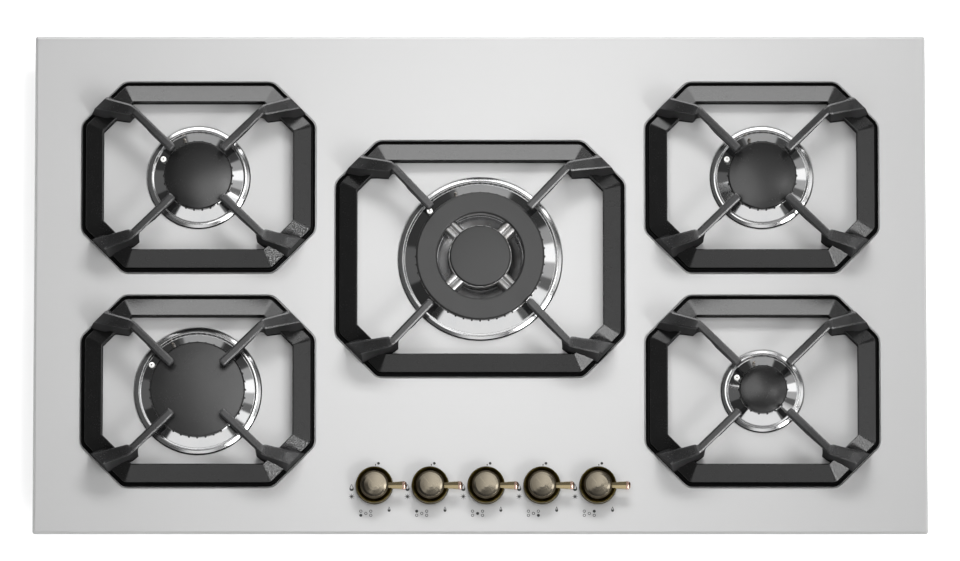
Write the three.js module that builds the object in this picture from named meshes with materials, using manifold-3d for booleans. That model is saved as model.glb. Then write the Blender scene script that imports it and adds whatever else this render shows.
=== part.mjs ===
// Built-in gas cooktop with five burners: a pressed steel plate over a shallow tray.
// Millimetres, +Z up, the rear of the hob towards +Y, origin under the middle of the tray.
import * as THREE from 'three';
import { mergeVertices } from 'three/addons/utils/BufferGeometryUtils.js';
import Module from 'manifold-3d';

const wasm = await Module();
wasm.setup();

// ---------------------------------------------------------------- driving dimensions

const GAP = 0.3;                    // running gap between pieces that touch

// top plate
const PLATE_WIDTH = 890;
const PLATE_DEPTH = 500;
const PLATE_TOP = 48;               // height of the plate's face above the tray's underside
const SHEET = 1.2;
const RIM_HEIGHT = 5;               // fold at the plate's edge
const RIM_BEVEL = 2.6;
const PLATE_CORNER = 2.5;
const SEAT_DEPTH = 1.2;             // pressed seat under each pan support
const SEAT_MARGIN = 1.6;

// tray and seal, set in from the plate's edge
const TRAY_INSET = 27;
const TRAY_SHEET = 1.2;
const FLANGE_INSET = 15;
const SEAL_OUTER_INSET = 2.4;
const SEAL_WIDTH = 7;

// pan supports
const SUPPORT_HEIGHT = 42;          // finger tops above the plate's face
const SUPPORT_CHAMFER = 42;
const SUPPORT_CORNER = 12;
const RING_WIDTH = 22;
const RING_INNER_HEIGHT = 16;
const RING_LIP_WIDTH = 4.5;
const RING_LIP_HEIGHT = 7;
const RING_WALL = 3.4;              // casting thickness over the open underside
const FINGER_TOP_WIDTH = 7.4;
const FINGER_TIP_DEPTH = 9;
const FINGER_BEND_DEPTH = 12;
const FINGER_ROOT_TOP = 30;         // height of the finger where it leaves the ring's corner
const FINGER_ROOT_WIDTH = 13;
const FINGER_ROOT_SETBACK = 4;
const FINGER_ROOT_SHIFT = 4;        // root lies this far along the chamfer, towards the side rail
const FINGER_DRAFT = 2.4;           // each side of the root web leans out this much at its foot

// burners: cap radius, cup radius, flame ports, heights above the plate's face
const SIDE_X = 281;
const SIDE_Y = 107.3;
const CENTRE_Y = 25.5;
const SIDE_SUPPORT = { halfX: 116.5, halfY: 95.75, tip: [24, 23], bend: [64, 61.8] };
const CENTRE_SUPPORT = { halfX: 144.4, halfY: 118.5, tip: [48, 46.5], bend: [87, 87.4] };

const SEMI_RAPID = { capRadius: 34.3, cupRadius: 52, ports: 16, capTop: 22, dome: 2.6, facets: 16 };
const RAPID = { capRadius: 47.5, cupRadius: 64, ports: 20, capTop: 21, dome: 1.6, facets: 20 };
const AUXILIARY = { capRadius: 24.1, cupRadius: 41.8, ports: 12, capTop: 24, dome: 3, facets: 16 };
const TRIPLE = { capRadius: 64, cupRadius: 82.4, ports: 24, capTop: 25.5, dome: 0.8, facets: 20 };
const TRIPLE_RING_INNER = 42.8;     // inner radius of the triple crown's ring cap
const TRIPLE_MIDDLE_RADIUS = 30.5;
const TRIPLE_INNER_PORTS = 8;

// spark and sensor: where the electrode and the flame sensor stand round the cap, in degrees
const BURNERS = [
  { name: 'front_left', x: -SIDE_X, y: -SIDE_Y, type: RAPID, spark: 151, sensor: 118 },
  { name: 'rear_left', x: -SIDE_X, y: SIDE_Y, type: SEMI_RAPID, spark: 154, sensor: 111 },
  { name: 'centre', x: 0, y: CENTRE_Y, type: TRIPLE, spark: 137, sensor: 111 },
  { name: 'front_right', x: SIDE_X, y: -SIDE_Y, type: AUXILIARY, spark: 154, sensor: 108 },
  { name: 'rear_right', x: SIDE_X, y: SIDE_Y, type: SEMI_RAPID, spark: 154, sensor: 109 },
].map((burner) => ({ ...burner, support: burner.type === TRIPLE ? CENTRE_SUPPORT : SIDE_SUPPORT }));

const CAP_THICKNESS = 2.6;
const CAP_RIM = 3.4;                // height of the cap's edge
const CUP_WALL = 1.6;
const CUP_FLANGE = 9.5;             // bead and flange of the cup, seen round the burner
const BEAD_HEIGHT = 4.6;
const BOWL_FLOOR = -7;              // burner bowl's floor, from the plate's face
const WELL_CLEARANCE = 5;           // bowl floor runs this far inside the cap's edge
const WELL_RADIUS = 15;
const WELL_FLOOR = -34;
const FOOT_RADIUS = 12;
const SPREADER_WALL = 3;
const SPREADER_SKIRT = 1.6;         // spreader's edge stands back from the cap's edge
const PORT_HEIGHT = 5;
const PORT_WIDTH = 2.2;
const BRIDGE_WIDTH = 12;

const PROBE_OFFSET = 4.6;           // electrode and sensor stand this far outside the cap
const SPARK_RADIUS = 2.4;
const SPARK_TOP = 14;
const SENSOR_RADIUS = 1.7;
const SENSOR_TOP = 16;
const PROBE_BOTTOM = -26;

// controls
const KNOB_PITCH = 55.5;
const KNOB_ROW_X = 5.9;
const KNOB_ROW_Y = -202;
const KNOB_RADIUS = 18.2;
const KNOB_FACE_RADIUS = 14;
const KNOB_HEIGHT = 15.5;
const KNOB_RIM = 12;
const KNOB_TRAVEL = 3;
const KNOB_LIFT = 4;                // knob's underside above the plate
const LEVER_REACH = 32.2;
const LEVER_RADIUS = 4.2;
const LEVER_ROOT_RADIUS = 3.3;
const SPINDLE_RADIUS = 4;
const SPINDLE_FLAT = 2.6;
const SPINDLE_INSERT = 7;           // spindle's length inside the knob
const TAP_WIDTH = 22;
const TAP_HEIGHT = 18;
const TAP_NECK_RADIUS = 8;
const TAP_NECK = 8;

// gas and electric fittings in the tray
const PIPE_RADIUS = 3.5;
const PIPE_LEVEL = 20;
const PIPE_DIP = 10;                // level of the pipe that passes under another
const OUTLET_LENGTH = 8;
const MANIFOLD_RADIUS = 6.5;
const MANIFOLD_X = 392;             // the manifold turns back here, outside the burners
const MANIFOLD_BEND = 25;
const ELBOW_RADIUS = 9;
const ELBOW_BORE = 5;
const GENERATOR = { width: 62, depth: 34, height: 24, x: -130, y: 178 };
const TERMINAL = { width: 46, depth: 24, height: 26, x: -330, gland: 7, glandBore: 3.5, glandLength: 12 };
const CLAMP_WIDTH = 20;
const CLAMP_SHEET = 2;
const CLAMP_REACH = 24;
const WORKTOP = 30;                 // worktop thickness that the clamps grip

// ---------------------------------------------------------------- solids

/** Closed mesh with shared corners, turned into a solid with its faces pointing out. */
function solid(geometry) {
  const bare = geometry.clone();
  bare.deleteAttribute('normal');
  bare.deleteAttribute('uv');
  const merged = mergeVertices(bare, 1e-4);
  const position = merged.attributes.position;
  const index = merged.index.array;
  const kept = [];
  let volume = 0;
  const a = new THREE.Vector3();
  const b = new THREE.Vector3();
  const c = new THREE.Vector3();
  for (let i = 0; i < index.length; i += 3) {
    const [p, q, r] = [index[i], index[i + 1], index[i + 2]];
    if (p === q || q === r || r === p) continue;
    kept.push(p, q, r);
    a.fromBufferAttribute(position, p);
    b.fromBufferAttribute(position, q);
    c.fromBufferAttribute(position, r);
    volume += a.dot(b.cross(c));
  }
  if (volume < 0) kept.reverse();
  return new wasm.Manifold(new wasm.Mesh({
    numProp: 3,
    vertProperties: new Float32Array(position.array),
    triVerts: new Uint32Array(kept),
  }));
}

/** Geometry of a solid, for a mesh. */
function geometryOf(body) {
  const mesh = body.getMesh();
  const geometry = new THREE.BufferGeometry();
  geometry.setAttribute('position', new THREE.BufferAttribute(new Float32Array(mesh.vertProperties), 3));
  geometry.setIndex(new THREE.BufferAttribute(new Uint32Array(mesh.triVerts), 1));
  return geometry;
}

const join = (...bodies) => bodies.reduce((sum, body) => sum.add(body));

/** Profile of [radius, height] pairs turned about the Z axis. */
function turned(profile, segments) {
  const points = profile.map(([radius, height]) => new THREE.Vector2(radius, height));
  return solid(new THREE.LatheGeometry(points, segments).rotateX(Math.PI / 2));
}

/** Closed ring of [radius, height] pairs turned about the Z axis. */
function turnedRing(profile, segments) {
  return turned([...profile, profile[0]], segments);
}

/** Upright round bar from height z0 to z1. */
function bar(radius, z0, z1, segments = 12) {
  const geometry = new THREE.CylinderGeometry(radius, radius, z1 - z0, segments);
  return solid(geometry.rotateX(Math.PI / 2).translate(0, 0, (z0 + z1) / 2));
}

/** Block between two corners. */
function block([x0, y0, z0], [x1, y1, z1]) {
  const geometry = new THREE.BoxGeometry(x1 - x0, y1 - y0, z1 - z0);
  return solid(geometry.translate((x0 + x1) / 2, (y0 + y1) / 2, (z0 + z1) / 2));
}

/** Round bar through a row of points, with a mitred section at each. */
function pipe(points, radius, sides = 8) {
  const up = new THREE.Vector3(0, 0, 1);
  return loft(points.map((point, i) => {
    const before = points[Math.max(i - 1, 0)];
    const after = points[Math.min(i + 1, points.length - 1)];
    const along = point.clone().sub(before).normalize().add(after.clone().sub(point).normalize()).normalize();
    const side = along.clone().cross(up).normalize();
    const rise = side.clone().cross(along);
    return Array.from({ length: sides }, (_, k) => {
      const angle = (k + 0.5) * 2 * Math.PI / sides;
      return point.clone().addScaledVector(side, radius * Math.cos(angle))
        .addScaledVector(rise, radius * Math.sin(angle));
    });
  }));
}

/** Skin over equal-sized sections. The ends are closed unless the last section meets the first. */
function loft(sections, { closed = false } = {}) {
  const size = sections[0].length;
  const position = sections.flat().flatMap((point) => [point.x, point.y, point.z]);
  const index = [];
  const spans = closed ? sections.length : sections.length - 1;
  for (let s = 0; s < spans; s += 1) {
    const here = s * size;
    const next = ((s + 1) % sections.length) * size;
    for (let i = 0; i < size; i += 1) {
      const j = (i + 1) % size;
      index.push(here + i, here + j, next + j, here + i, next + j, next + i);
    }
  }
  if (!closed) {
    const last = (sections.length - 1) * size;
    for (let i = 1; i < size - 1; i += 1) {
      index.push(0, i + 1, i, last, last + i, last + i + 1);
    }
  }
  const geometry = new THREE.BufferGeometry();
  geometry.setAttribute('position', new THREE.Float32BufferAttribute(position, 3));
  geometry.setIndex(index);
  return solid(geometry);
}

/** Corners of a rectangle with 45 degree chamfers and rounded ends to them, drawn in by an inset. */
function chamferedOutline({ halfX, halfY }, chamfer, corner, inset, z) {
  const x = halfX - inset;
  const y = halfY - inset;
  const leg = chamfer - inset * (2 - Math.SQRT2);
  const radius = Math.max(corner - inset, 1.5);
  const cut = radius * Math.tan(Math.PI / 8);
  const diagonal = cut / Math.SQRT2;
  const quarter = [
    [x, y - leg - cut], [x - diagonal, y - leg + diagonal],
    [x - leg + diagonal, y - diagonal], [x - leg - cut, y],
  ];
  const mirrored = (signX, signY) => quarter.map(([px, py]) => [px * signX, py * signY]);
  return [
    ...mirrored(1, 1), ...mirrored(-1, 1).reverse(), ...mirrored(-1, -1), ...mirrored(1, -1).reverse(),
  ].map(([px, py]) => new THREE.Vector3(px, py, z));
}

/** Corners of a rectangle with small 45 degree corners, drawn in by an inset. */
function plateOutline(inset, z) {
  const half = { halfX: PLATE_WIDTH / 2, halfY: PLATE_DEPTH / 2 };
  return cornerOutline(half.halfX - inset, half.halfY - inset, PLATE_CORNER, z);
}

function cornerOutline(x, y, corner, z) {
  const cut = Math.max(corner, 0.2);
  return [
    [x, y - cut], [x - cut, y], [cut - x, y], [-x, y - cut],
    [-x, cut - y], [cut - x, -y], [x - cut, -y], [x, cut - y],
  ].map(([px, py]) => new THREE.Vector3(px, py, z));
}

// ---------------------------------------------------------------- the assembly

const cooktop = new THREE.Group();

function addPiece(name, body, [color, roughness, metalness], place = [0, 0, 0]) {
  const material = new THREE.MeshStandardMaterial({ color, roughness, metalness });
  const mesh = new THREE.Mesh(geometryOf(body), material);
  mesh.name = name;
  mesh.position.set(...place);
  cooktop.add(mesh);
}

const STEEL = [0xcfcfcf, 0.32, 1];
const POLISHED = [0xe6e6e6, 0.1, 1];
const ENAMEL = [0x1d1d1e, 0.3, 0];
const CAP_ENAMEL = [0x3c3c3d, 0.5, 0];
const ALUMINIUM = [0xb9bbbd, 0.35, 1];
const GALVANISED = [0xa4a8ab, 0.45, 1];
const CERAMIC = [0xf1efe9, 0.3, 0];
const BRASS = [0x8f7c52, 0.35, 1];
const BLACK_PLASTIC = [0x222222, 0.6, 0];
const FOAM = [0x2c2c2c, 0.9, 0];

const SEAT_FACE = PLATE_TOP - SEAT_DEPTH;
const RIM_FOOT = PLATE_TOP - RIM_HEIGHT;
const TRAY_X = PLATE_WIDTH / 2 - TRAY_INSET;
const TRAY_Y = PLATE_DEPTH / 2 - TRAY_INSET;
const knobPlaces = BURNERS.map((burner, i) => [KNOB_ROW_X + (i - 2) * KNOB_PITCH, KNOB_ROW_Y]);

// ---------------------------------------------------------------- plate, tray and seal

const cupHole = (type) => type.cupRadius - CUP_FLANGE + 1;

function topPlate() {
  let plate = loft([
    plateOutline(0, RIM_FOOT), plateOutline(0, PLATE_TOP - RIM_BEVEL),
    plateOutline(RIM_BEVEL * 0.35, PLATE_TOP - RIM_BEVEL * 0.35), plateOutline(RIM_BEVEL, PLATE_TOP),
  ]);
  plate = plate.subtract(loft([
    plateOutline(SHEET, RIM_FOOT - 1), plateOutline(SHEET, PLATE_TOP - RIM_BEVEL - 0.4),
    plateOutline(RIM_BEVEL + 0.6, PLATE_TOP - SHEET),
  ]));
  for (const { x, y, support, type } of BURNERS) {
    const seat = (inset, z) => chamferedOutline(support, SUPPORT_CHAMFER, SUPPORT_CORNER, inset, z)
      .map((point) => point.add(new THREE.Vector3(x, y, 0)));
    const pan = loft([seat(-SEAT_MARGIN - SHEET, SEAT_FACE - SHEET), seat(-SEAT_MARGIN - SHEET, SEAT_FACE)]);
    const pocket = loft([
      seat(-SEAT_MARGIN, SEAT_FACE), seat(-SEAT_MARGIN - 0.8, PLATE_TOP + 0.4),
    ]);
    const hole = bar(cupHole(type), RIM_FOOT, PLATE_TOP + 1, type.facets).translate([x, y, 0]);
    plate = plate.add(pan).subtract(pocket.add(hole));
  }
  for (const [x, y] of knobPlaces) {
    plate = plate.subtract(bar(SPINDLE_RADIUS + 2, RIM_FOOT, PLATE_TOP + 1, 10).translate([x, y, 0]));
  }
  return plate;
}

const TRAY_TOP = PLATE_TOP - SHEET - GAP;

/** Hole through the tray's rear wall. */
function rearWallHole(x, z, radius) {
  const hole = bar(radius, -TRAY_INSET, TRAY_INSET, 12).rotate([90, 0, 0]);
  return hole.translate([x, TRAY_Y, z]);
}

function baseTray() {
  const shelf = TRAY_INSET - FLANGE_INSET;
  let tray = block([-TRAY_X, -TRAY_Y, 0], [TRAY_X, TRAY_Y, TRAY_TOP]);
  tray = tray.add(block([-TRAY_X - shelf, -TRAY_Y - shelf, TRAY_TOP - TRAY_SHEET],
    [TRAY_X + shelf, TRAY_Y + shelf, TRAY_TOP]));
  const inner = [TRAY_X - TRAY_SHEET, TRAY_Y - TRAY_SHEET];
  tray = tray.subtract(block([-inner[0], -inner[1], TRAY_SHEET], [inner[0], inner[1], TRAY_TOP + 1]));
  tray = tray.subtract(rearWallHole(MANIFOLD_X, PIPE_LEVEL, ELBOW_RADIUS + GAP));
  return tray.subtract(rearWallHole(TERMINAL.x, PIPE_LEVEL, TERMINAL.gland + GAP));
}

function worktopSeal() {
  const outer = (z) => plateOutline(SEAL_OUTER_INSET, z);
  const inner = (z) => plateOutline(SEAL_OUTER_INSET + SEAL_WIDTH, z);
  const top = PLATE_TOP - SHEET - GAP - 0.6;
  return loft([outer(RIM_FOOT), outer(top), inner(top), inner(RIM_FOOT)], { closed: true });
}

addPiece('top_plate', topPlate(), STEEL);
addPiece('base_tray', baseTray(), GALVANISED);
addPiece('worktop_seal', worktopSeal(), FOAM);

// ---------------------------------------------------------------- pan supports

/** Cross-section of a finger: flat top with eased edges, sides leaning out to the foot. */
function fingerSection({ at, across, top, foot, width, draft = 0, lean = [0, 0] }) {
  const half = width / 2;
  const ease = Math.min(1.4, half * 0.4);
  const outline = [
    [-half - draft, foot, 1], [half + draft, foot, 1], [half, top - ease, 0.15],
    [half - ease, top, 0], [ease - half, top, 0], [-half, top - ease, 0.15],
  ];
  return outline.map(([side, z, low]) => new THREE.Vector3(
    at[0] + across[0] * side + lean[0] * low, at[1] + across[1] * side + lean[1] * low, z,
  ));
}

/** Finger of the first quadrant, from its tip over the burner to its root on the ring's corner. */
function finger({ halfX, halfY, tip, bend }, top, seat) {
  const along = new THREE.Vector2(bend[0] - tip[0], bend[1] - tip[1]).normalize();
  const reach = Math.hypot(bend[0] - tip[0], bend[1] - tip[1]);
  const across = [along.y, -along.x];
  const point = (s) => [tip[0] + along.x * s, tip[1] + along.y * s];
  const chamfer = [Math.SQRT1_2, -Math.SQRT1_2];
  const inward = FINGER_ROOT_SETBACK * Math.SQRT1_2;
  const root = [
    halfX - SUPPORT_CHAMFER / 2 - inward + FINGER_ROOT_SHIFT * chamfer[0],
    halfY - SUPPORT_CHAMFER / 2 - inward + FINGER_ROOT_SHIFT * chamfer[1],
  ];
  const outward = new THREE.Vector2(root[0] - bend[0], root[1] - bend[1]).normalize();
  const bendAcross = new THREE.Vector2(across[0] + outward.y, across[1] - outward.x).normalize().toArray();
  const mid = (share) => [bend[0] + (root[0] - bend[0]) * share, bend[1] + (root[1] - bend[1]) * share];
  const foot = seat + GAP;
  const rootTop = PLATE_TOP + FINGER_ROOT_TOP;
  const width = FINGER_TOP_WIDTH;
  return loft([
    fingerSection({
      at: point(0), across, top: top - 1.6, foot: top - FINGER_TIP_DEPTH + 2, width: width * 0.6,
    }),
    fingerSection({ at: point(2), across, top, foot: top - FINGER_TIP_DEPTH, width }),
    fingerSection({ at: point(reach - 7), across, top, foot: top - FINGER_BEND_DEPTH, width }),
    fingerSection({
      at: point(reach - 1.5), across, top, foot: foot + 8, width, draft: FINGER_DRAFT * 0.6,
    }),
    fingerSection({
      at: bend, across: bendAcross, top, foot: foot + 1.5, width: width * 1.06, draft: FINGER_DRAFT,
    }),
    fingerSection({
      at: mid(0.55), across: [outward.y, -outward.x], top: top - (top - rootTop) * 0.42, foot,
      width: (width + FINGER_ROOT_WIDTH) / 2, draft: FINGER_DRAFT,
    }),
    fingerSection({
      at: root, across: chamfer, top: rootTop, foot: foot + 1,
      width: FINGER_ROOT_WIDTH * 1.2, draft: 1, lean: [inward * 0.85, inward * 0.85],
    }),
  ]);
}

function panSupport(support) {
  const seat = SEAT_FACE;
  const low = seat + GAP;
  const outline = (inset, z) => chamferedOutline(support, SUPPORT_CHAMFER, SUPPORT_CORNER, inset, z);
  const ring = loft([
    outline(0, low), outline(0.6, low + RING_LIP_HEIGHT - 2),
    outline(RING_LIP_WIDTH, low + RING_LIP_HEIGHT), outline(RING_WIDTH - 0.8, low + RING_INNER_HEIGHT),
    outline(RING_WIDTH, low + RING_INNER_HEIGHT - 0.8), outline(RING_WIDTH, low),
    outline(RING_WIDTH - RING_WALL, low),
    outline(RING_WIDTH - RING_WALL, low + RING_INNER_HEIGHT - RING_WALL - 1),
    outline(RING_LIP_WIDTH, low),
  ], { closed: true });
  const one = finger(support, PLATE_TOP + SUPPORT_HEIGHT, seat);
  return join(ring, one, one.mirror([1, 0, 0]), one.mirror([0, 1, 0]), one.rotate([0, 0, 180]));
}

const supportBodies = new Map();
for (const { name, x, y, support } of BURNERS) {
  if (!supportBodies.has(support)) supportBodies.set(support, panSupport(support));
  addPiece(`pan_support_${name}`, supportBodies.get(support), ENAMEL, [x, y, 0]);
}

// ---------------------------------------------------------------- burners

const polar = (radius, degrees) => [
  radius * Math.cos(degrees * Math.PI / 180), radius * Math.sin(degrees * Math.PI / 180),
];
const probes = ({ type, spark, sensor }) => [
  { at: polar(type.capRadius + PROBE_OFFSET, spark), radius: SPARK_RADIUS },
  { at: polar(type.capRadius + PROBE_OFFSET, sensor), radius: SENSOR_RADIUS },
];

/** Cup with its bezel bead on the plate, polished bowl, mixing well and foot on the tray. */
function burnerCup(burner) {
  const { cupRadius, capRadius, facets } = burner.type;
  const bowl = cupRadius - CUP_FLANGE;
  const floor = capRadius - WELL_CLEARANCE;
  const face = SEAT_FACE;
  const under = face + GAP;
  const foot = TRAY_SHEET + GAP;
  const bottom = PLATE_TOP + WELL_FLOOR;
  let cup = turned([
    [0, foot], [FOOT_RADIUS, foot], [WELL_RADIUS + CUP_WALL, bottom],
    [WELL_RADIUS + CUP_WALL, PLATE_TOP + BOWL_FLOOR - 6], [floor, PLATE_TOP + BOWL_FLOOR - CUP_WALL],
    [bowl - CUP_WALL * 0.5, under], [cupRadius, under], [cupRadius - 1.2, under + 2.2],
    [bowl + 3.6, under + 2.9], [bowl + 2, under + BEAD_HEIGHT], [bowl, under + 2],
    [floor, PLATE_TOP + BOWL_FLOOR], [WELL_RADIUS, PLATE_TOP + BOWL_FLOOR - 5], [WELL_RADIUS, bottom + 2],
    [0, bottom + 2],
  ], facets);
  for (const { at, radius } of probes(burner)) {
    cup = cup.subtract(bar(radius + GAP, PLATE_TOP + PROBE_BOTTOM, PLATE_TOP + 8, 6).translate([...at, 0]));
  }
  return cup;
}

/** Ring of flame ports: slots open at the top, cut through a wall, the first half a pitch round. */
function portSlots(count, radius, depth, z0) {
  const half = PORT_WIDTH / 2;
  const slots = [];
  for (let i = 0; i < count; i += 1) {
    const slot = block([radius - depth, -half, z0], [radius + 2, half, z0 + PORT_HEIGHT + 1]);
    slots.push(slot.rotate([0, 0, (i + 0.5) * 360 / count]));
  }
  return join(...slots);
}

const spreaderTop = (type) => PLATE_TOP + type.capTop - type.dome - CAP_RIM - GAP;

function flameSpreader(type) {
  const top = spreaderTop(type);
  const edge = type.capRadius - SPREADER_SKIRT;
  const floor = type.capRadius - WELL_CLEARANCE;
  const base = PLATE_TOP + BOWL_FLOOR;
  const spigot = WELL_RADIUS - GAP;
  const body = turnedRing([
    [spigot, base - 14], [spigot, base - 4.6], [floor - 1, base + GAP], [edge, top - PORT_HEIGHT - 5],
    [edge, top], [edge - SPREADER_WALL, top], [edge - SPREADER_WALL, top - PORT_HEIGHT - 3],
    [spigot - 3, base + 2], [spigot - 3, base - 14],
  ], type.facets);
  return body.subtract(portSlots(type.ports, edge, SPREADER_WALL + 1, top - PORT_HEIGHT));
}

/** Two crowns on one base, tied by four bridges that carry gas to the outer ring. */
function tripleSpreader(type) {
  const top = spreaderTop(type);
  const edge = type.capRadius - SPREADER_SKIRT;
  const inner = TRIPLE_RING_INNER + SPREADER_SKIRT;
  const middle = TRIPLE_MIDDLE_RADIUS - SPREADER_SKIRT;
  const base = PLATE_TOP + BOWL_FLOOR;
  const spigot = WELL_RADIUS - GAP;
  const deck = base + 7;
  const trough = top - PORT_HEIGHT - 5;
  const body = turnedRing([
    [spigot, base - 14], [spigot, base - 4.6],
    [type.capRadius - WELL_CLEARANCE - 1, base + GAP], [edge, trough], [edge, top],
    [edge - SPREADER_WALL, top], [edge - SPREADER_WALL, trough + 2], [inner + SPREADER_WALL, trough + 2],
    [inner + SPREADER_WALL, top], [inner, top], [inner - 1.5, deck], [middle + 2, deck],
    [middle, top - PORT_HEIGHT - 4], [middle, top], [middle - SPREADER_WALL, top],
    [middle - SPREADER_WALL, deck - 2], [spigot - 3, base], [spigot - 3, base - 14],
  ], type.facets);
  const ridge = bar(BRIDGE_WIDTH / 4, middle - 2, inner + 1, 8).rotate([0, 90, 0]);
  const bridges = [45, 135, 225, 315].map((angle) => {
    const saddle = block([middle - 1, -BRIDGE_WIDTH / 2, deck - 1], [inner + 0.6, BRIDGE_WIDTH / 2, top - 4]);
    const pair = [-1, 1].map((side) => ridge.translate([0, side * BRIDGE_WIDTH / 4, top - 4]));
    return join(saddle, ...pair).rotate([0, 0, angle]);
  });
  const outerPorts = portSlots(type.ports, edge, SPREADER_WALL + 1, top - PORT_HEIGHT);
  const innerPorts = portSlots(TRIPLE_INNER_PORTS, middle, SPREADER_WALL + 1, top - PORT_HEIGHT);
  return join(body.subtract(outerPorts.add(innerPorts)), ...bridges);
}

/** Domed cap with a rolled edge and a locating lip that drops inside the spreader's wall. */
function burnerCap(radius, type) {
  const top = PLATE_TOP + type.capTop;
  const seat = spreaderTop(type) + GAP;
  const lip = radius - SPREADER_SKIRT - SPREADER_WALL - GAP;
  return turned([
    [0, top], [radius * 0.62, top - type.dome * 0.34], [radius - 1.4, top - type.dome],
    [radius, top - type.dome - 1.3], [radius, seat], [lip, seat], [lip - 1, seat - 2.5],
    [lip - 2.5, top - type.dome - CAP_THICKNESS], [0, top - CAP_THICKNESS],
  ], type.facets);
}

/** Flat ring cap of the triple crown. */
function ringCap(type) {
  const top = PLATE_TOP + type.capTop;
  const seat = spreaderTop(type) + GAP;
  const outerLip = type.capRadius - SPREADER_SKIRT - SPREADER_WALL - GAP;
  const innerLip = TRIPLE_RING_INNER + SPREADER_SKIRT + SPREADER_WALL + GAP;
  return turnedRing([
    [TRIPLE_RING_INNER, seat], [TRIPLE_RING_INNER, top - 1.5], [TRIPLE_RING_INNER + 1.4, top],
    [type.capRadius - 1.4, top], [type.capRadius, top - 1.5], [type.capRadius, seat],
    [outerLip, seat], [outerLip, seat - 2.5], [innerLip, seat - 2.5], [innerLip, seat],
  ], type.facets);
}

function sparkElectrode() {
  const top = PLATE_TOP + SPARK_TOP;
  const flange = PLATE_TOP + PROBE_BOTTOM;
  return turned([
    [0, flange], [SPARK_RADIUS, flange], [SPARK_RADIUS, top - 3], [SPARK_RADIUS - 0.5, top - 2.4],
    [0.9, top - 2.4], [0.9, top], [0, top],
  ], 6);
}

function flameSensor() {
  const top = PLATE_TOP + SENSOR_TOP;
  const low = PLATE_TOP + PROBE_BOTTOM;
  return turned([
    [0, low], [SENSOR_RADIUS, low], [SENSOR_RADIUS, top - 4], [SENSOR_RADIUS - 0.5, top - 1], [0, top],
  ], 6);
}

for (const burner of BURNERS) {
  const { name, x, y, type } = burner;
  const [spark, sensor] = probes(burner);
  addPiece(`burner_cup_${name}`, burnerCup(burner), POLISHED, [x, y, 0]);
  if (type === TRIPLE) {
    addPiece(`flame_spreader_${name}`, tripleSpreader(type), ALUMINIUM, [x, y, 0]);
    addPiece(`burner_cap_${name}_ring`, ringCap(type), CAP_ENAMEL, [x, y, 0]);
    addPiece(`burner_cap_${name}_middle`, burnerCap(TRIPLE_MIDDLE_RADIUS, type), CAP_ENAMEL, [x, y, 0]);
  } else {
    addPiece(`flame_spreader_${name}`, flameSpreader(type), ALUMINIUM, [x, y, 0]);
    addPiece(`burner_cap_${name}`, burnerCap(type.capRadius, type), CAP_ENAMEL, [x, y, 0]);
  }
  addPiece(`spark_electrode_${name}`, sparkElectrode(), CERAMIC, [x + spark.at[0], y + spark.at[1], 0]);
  addPiece(`flame_sensor_${name}`, flameSensor(), POLISHED, [x + sensor.at[0], y + sensor.at[1], 0]);
}

// ---------------------------------------------------------------- controls

const SPINDLE_BORE_ROOF = SPINDLE_INSERT + KNOB_TRAVEL + 0.5;
const KNOB_SEGMENTS = 16;

function controlKnob() {
  const face = KNOB_FACE_RADIUS;
  const top = KNOB_HEIGHT;
  const bore = SPINDLE_RADIUS + GAP;
  const body = turned([
    [0, SPINDLE_BORE_ROOF], [bore, SPINDLE_BORE_ROOF], [bore, 0], [KNOB_RADIUS - 1.2, 0],
    [KNOB_RADIUS, 1.2], [KNOB_RADIUS, KNOB_RIM - 0.8], [KNOB_RADIUS - 0.8, KNOB_RIM],
    [face, KNOB_RIM - 3.4], [face, top - 0.8], [face - 0.8, top], [face - 2.4, top - 0.5],
    [0, top - 0.1],
  ], KNOB_SEGMENTS);
  const lever = turned([
    [0, face - 4], [LEVER_ROOT_RADIUS, face - 4], [LEVER_ROOT_RADIUS, KNOB_RADIUS],
    [LEVER_RADIUS, LEVER_REACH - 3], [LEVER_RADIUS - 1.6, LEVER_REACH], [0, LEVER_REACH],
  ], 8).rotate([0, 90, 0]);
  return body.add(lever.translate([0, 0, KNOB_RIM]));
}

/** Height of the knob's underside, above the tray's underside. */
const KNOB_BASE = PLATE_TOP + KNOB_LIFT;
const TAP_TOP = PLATE_TOP - SHEET - GAP;
const TAP_BOTTOM = TAP_TOP - TAP_NECK - TAP_HEIGHT;

function tapSpindle() {
  const top = KNOB_BASE + SPINDLE_INSERT;
  const low = TAP_TOP - TAP_NECK;
  const rod = bar(SPINDLE_RADIUS, low, top, 12);
  const flat = block([-SPINDLE_RADIUS - 1, SPINDLE_FLAT, PLATE_TOP + 1], [SPINDLE_RADIUS + 1, 8, top + 1]);
  return rod.subtract(flat);
}

/** Tap body, with a neck for the spindle, an inlet hub on the manifold and an outlet behind. */
function gasTap() {
  const half = TAP_WIDTH / 2;
  const shoulder = TAP_TOP - TAP_NECK;
  const neck = bar(TAP_NECK_RADIUS, shoulder - 1, TAP_TOP, 12);
  const outlet = bar(PIPE_RADIUS + 2, 0, OUTLET_LENGTH, 8).rotate([-90, 0, 0]);
  const body = block([-half, -half, TAP_BOTTOM], [half, half, shoulder]);
  const bore = bar(SPINDLE_RADIUS + GAP, shoulder - GAP, TAP_TOP + 1, 12);
  return join(body, neck, outlet.translate([0, half - 1, PIPE_LEVEL])).subtract(bore);
}

BURNERS.forEach(({ name }, i) => {
  const [x, y] = knobPlaces[i];
  addPiece(`control_knob_${name}`, controlKnob(), BRASS, [x, y, KNOB_BASE]);
  addPiece(`tap_spindle_${name}`, tapSpindle(), POLISHED, [x, y, 0]);
  addPiece(`gas_tap_${name}`, gasTap(), ALUMINIUM, [x, y, 0]);
});

// ---------------------------------------------------------------- gas and electric fittings

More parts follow.
